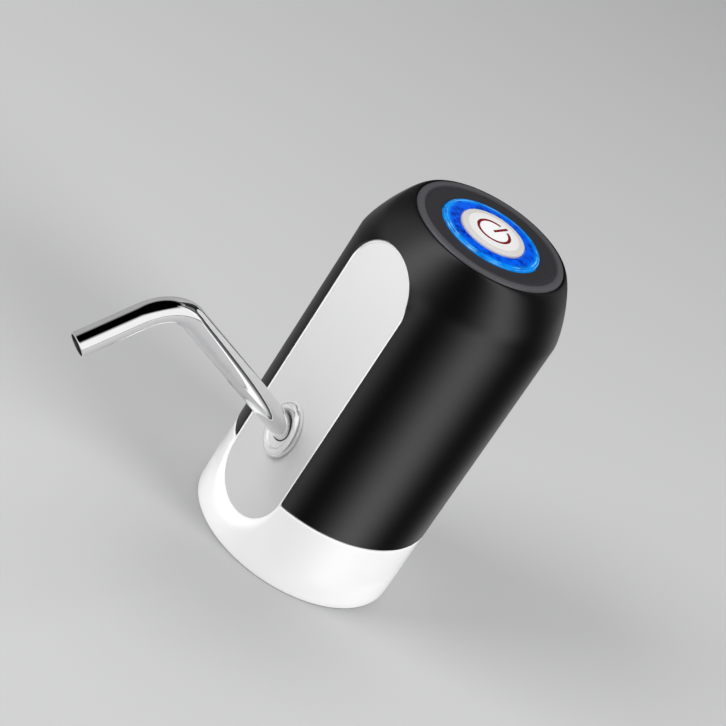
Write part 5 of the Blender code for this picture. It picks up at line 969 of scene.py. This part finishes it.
# Inlet nipple.  A food-safe natural plastic moulding through the socket's ceiling: two ridges below
# for the intake hose, a flange on its gasket, and a barb above for the pump's hose.
ridges = []
for ridge in (17.0, 14.0):
    ridges += [(3.6, ridge), (4.3, ridge, 0.1), (3.6, ridge - 1.5)]
nipple = turned("nipple_body", [
    (2.35, 39.6, 0.2), (2.35, 33.6), (4.4, 33.6, 0.2), (4.4, 22.5), (8.0, 22.5, 0.2),
    (8.0, 20.8, 0.4), (3.6, 20.8), *ridges, (2.9, 11.0, 0.1), (1.4, 11.0), (1.4, 39.6),
], 96, NIPPLE_AXIS)
bpy.ops.object.shade_smooth_by_angle(angle=math.radians(40))

natural = Finish("natural_plastic", Roughness=0.42, Subsurface_Weight=0.05)
natural.feed("Base Color", natural.mix(
    natural.noise(6 * MM, 3.0), (0.6, 0.59, 0.55), (0.7, 0.69, 0.65)
))
natural.feed("Roughness", 0.38 + 0.12 * natural.noise(0.5 * MM))
natural.emboss(natural.noise(0.35 * MM), 0.004 * MM)
dress(nipple, natural, "pump", "natural_plastic", "inlet_nipple")

# Case screws.  Three plated steel socket screws up through the socket's ceiling that hold the base
# to the chassis; one is turned and keyed, and the others are copies.
SCREW_HEAD_FACE = 22.6
first_screw = turned("case_screw_body_1", [
    (0, SCREW_HEAD_FACE), (2.2, SCREW_HEAD_FACE, 0.15), (2.6, 23.1, 0.15), (2.6, 24.2),
    (1.4, 24.2), (1.4, 31.2), (0.85, 32.7), (0, 32.7),
], 48, on_circle(SCREW_CIRCLE, SCREW_AZIMUTHS[0]), closed=False)
key = upright_rod(
    "key", 1.2, SCREW_HEAD_FACE - 1, SCREW_HEAD_FACE + 0.8,
    on_circle(SCREW_CIRCLE, SCREW_AZIMUTHS[0]), 6,
)
combine(first_screw, key, "DIFFERENCE")
bpy.ops.object.shade_smooth_by_angle(angle=math.radians(30))

steel = Finish("plain_steel", Metallic=1.0, Roughness=0.3)
steel.feed("Base Color", steel.mix(steel.noise(3 * MM), (0.5, 0.5, 0.51), (0.64, 0.64, 0.65)))
steel.feed("Roughness", 0.24 + 0.14 * steel.noise(0.5 * MM, 4.0))
steel.emboss(steel.noise(0.3 * MM, 3.0), 0.002 * MM)
dress(first_screw, steel, "pump", "plain_steel", "case_screw_1")
first_place = on_circle(SCREW_CIRCLE, SCREW_AZIMUTHS[0])
for number, azimuth in enumerate(SCREW_AZIMUTHS[1:], 2):
    bpy.ops.object.select_all(action="DESELECT")
    bpy.context.view_layer.objects.active = first_screw
    first_screw.select_set(True)
    bpy.ops.object.duplicate(linked=False)
    bpy.ops.transform.translate(value=on_circle(SCREW_CIRCLE, azimuth) - first_place)
    screw = name_piece(f"case_screw_body_{number}")
    dress(screw, steel, "pump", "plain_steel", f"case_screw_{number}")

# Charging socket.  A drawn steel can with round corners, open at its mouth, round a black tongue;
# it faces the port at the back of the cover.
can = box("socket_can", (-3.8, 27.787, 39.5), (3.8, 33.487, 42.2), 1.2)
room_inside = box("socket_room", (-3.45, 28.287, 39.85), (3.45, 36, 41.85), 0.9)
combine(can, room_inside, "DIFFERENCE")
ease_edges(can, 0.06 * MM, 40, 2)
dress(can, steel, "pump", "plain_steel", "usb_socket")
black_plastic = Finish("black_plastic", Roughness=0.55)
black_plastic.feed("Base Color", black_plastic.mix(
    black_plastic.noise(2 * MM), (0.015, 0.015, 0.016), (0.03, 0.03, 0.032)
))
black_plastic.feed("Roughness", 0.48 + 0.14 * black_plastic.noise(0.4 * MM))
coat_node(black_plastic, "usb_tongue", "tact_switch", "motor_end_cap")

# Chassis and plumbing.  The natural plastic frame that carries the works, with the outlet socket,
# nut, valve plate, head and frame of the pump in the same material, and silicone hoses.
coat_node(
    natural, "chassis", "outlet_socket", "nipple_nut", "pump_head", "valve_plate", "pump_frame",
    "wobble_plate",
)
coat_node(silicone, "inlet_hose", "outlet_hose", "nipple_gasket", "swivel_sleeve")
rubber = Finish("black_rubber", Roughness=0.7)
rubber.feed("Base Color", rubber.mix(
    rubber.noise(2 * MM), (0.014, 0.014, 0.014), (0.03, 0.03, 0.03)
))
rubber.feed("Roughness", 0.62 + 0.16 * rubber.noise(0.5 * MM))
rubber.emboss(rubber.noise(0.25 * MM), 0.006 * MM)
coat_node(rubber, "check_valve", "diaphragm", "switch_plunger")
coat_node(
    steel, "pump_screw_1", "pump_screw_2", "pump_screw_3", "board_screw_1", "board_screw_2",
    "strap_screw", "motor_strap", "crank_pin", "motor_shaft", "contact_negative",
    "contact_positive",
)

# Motor.  A plated drawn can; inside it a ferrite magnet, a stack of steel laminations wound with
# enamelled copper, a copper commutator, and sintered brass bearings at both ends.
plated = Finish("plated_can", Metallic=1.0, Roughness=0.32)
draw_marks = plated.noise(0.4 * MM, 2.0, plated.vector("MULTIPLY", plated.place, (1, 1, 0.05)))
plated.feed("Base Color", plated.mix(draw_marks, (0.52, 0.52, 0.53), (0.66, 0.66, 0.67)))
plated.feed("Roughness", 0.26 + 0.14 * draw_marks)
coat_node(plated, "motor_can")
lamination = Finish("steel_laminations", Metallic=1.0, Roughness=0.4)
sheets = lamination.node("TexWave", {"bands_direction": "Z"}, "Fac", {
    "Vector": lamination.place, "Scale": 0.31 / (0.5 * MM),
})
lamination.feed("Base Color", lamination.mix(sheets, (0.3, 0.3, 0.31), (0.55, 0.55, 0.56)))
lamination.emboss(sheets, 0.05 * MM, 0.6)
coat_node(lamination, "armature")
copper = Finish("enamelled_copper", Metallic=1.0, Roughness=0.35)
strands = copper.node("TexWave", {"bands_direction": "Z"}, "Fac", {
    "Vector": copper.place, "Scale": 0.31 / (0.35 * MM), "Distortion": 0.6,
})
copper.feed("Base Color", copper.mix(strands, (0.42, 0.15, 0.06), (0.72, 0.34, 0.17)))
copper.feed("Roughness", 0.28 + 0.14 * copper.noise(0.8 * MM))
copper.emboss(strands, 0.05 * MM, 0.6)
coat_node(copper, "rotor_winding", "commutator", "brush_strip_left", "brush_strip_right")
ferrite = Finish("ferrite", Roughness=0.72)
grain = ferrite.noise(0.3 * MM, 4.0)
ferrite.feed("Base Color", ferrite.mix(grain, (0.03, 0.03, 0.032), (0.07, 0.068, 0.07)))
ferrite.emboss(grain, 0.01 * MM)
coat_node(ferrite, "motor_magnet")
brass = Finish("sintered_brass", Metallic=1.0, Roughness=0.35)
pores = brass.noise(0.25 * MM, 3.0)
brass.feed("Base Color", brass.mix(pores, (0.55, 0.38, 0.14), (0.76, 0.56, 0.26)))
brass.feed("Roughness", 0.28 + 0.18 * pores)
coat_node(brass, "drive_hub", "motor_bearing_1", "motor_bearing_2")

# Battery, boards and leads.  A wrapped round cell, two green printed boards with their tracks, the
# white light strip, and two-core leads in red insulation.
wrap = Finish("cell_wrap", Roughness=0.34)
fold = wrap.node("TexWave", {"bands_direction": "Z"}, "Fac", {
    "Vector": wrap.place, "Scale": 0.31 / (9 * MM), "Distortion": 2.0, "Detail": 1.0,
})
wrap.feed("Base Color", wrap.mix(fold, (0.012, 0.09, 0.36), (0.02, 0.13, 0.46)))
wrap.feed("Roughness", 0.28 + 0.12 * wrap.noise(0.9 * MM))
wrap.emboss(wrap.noise(2 * MM), 0.02 * MM)
coat_node(wrap, "battery_cell")
board = Finish("circuit_board", Roughness=0.42)
tracks = board.node("TexBrick", {"offset": 0.4, "squash": 0.7}, "Fac", {
    "Vector": board.place, "Scale": 1 / (5 * MM), "Mortar Size": 0.04,
})
board.feed("Base Color", board.mix(tracks, (0.008, 0.12, 0.035), (0.03, 0.26, 0.08)))
board.feed("Roughness", 0.36 + 0.12 * board.noise(0.5 * MM))
board.emboss(tracks, 0.03 * MM, 0.5)
coat_node(board, "control_board", "charge_board")
lamp_body = Finish("led_package", Roughness=0.4)
lamp_body.feed("Base Color", lamp_body.mix(
    lamp_body.noise(1.5 * MM), (0.72, 0.72, 0.62), (0.84, 0.84, 0.76)
))
lamp_body.feed("Roughness", 0.36 + 0.1 * lamp_body.noise(0.4 * MM))
coat_node(lamp_body, "led_strip")
insulation = Finish("wire_insulation", Roughness=0.45)
insulation.feed("Base Color", insulation.mix(
    insulation.noise(1.5 * MM), (0.32, 0.01, 0.01), (0.45, 0.02, 0.02)
))
insulation.feed("Roughness", 0.4 + 0.12 * insulation.noise(0.5 * MM))
coat_node(insulation, "motor_lead", "cell_lead", "charge_lead")
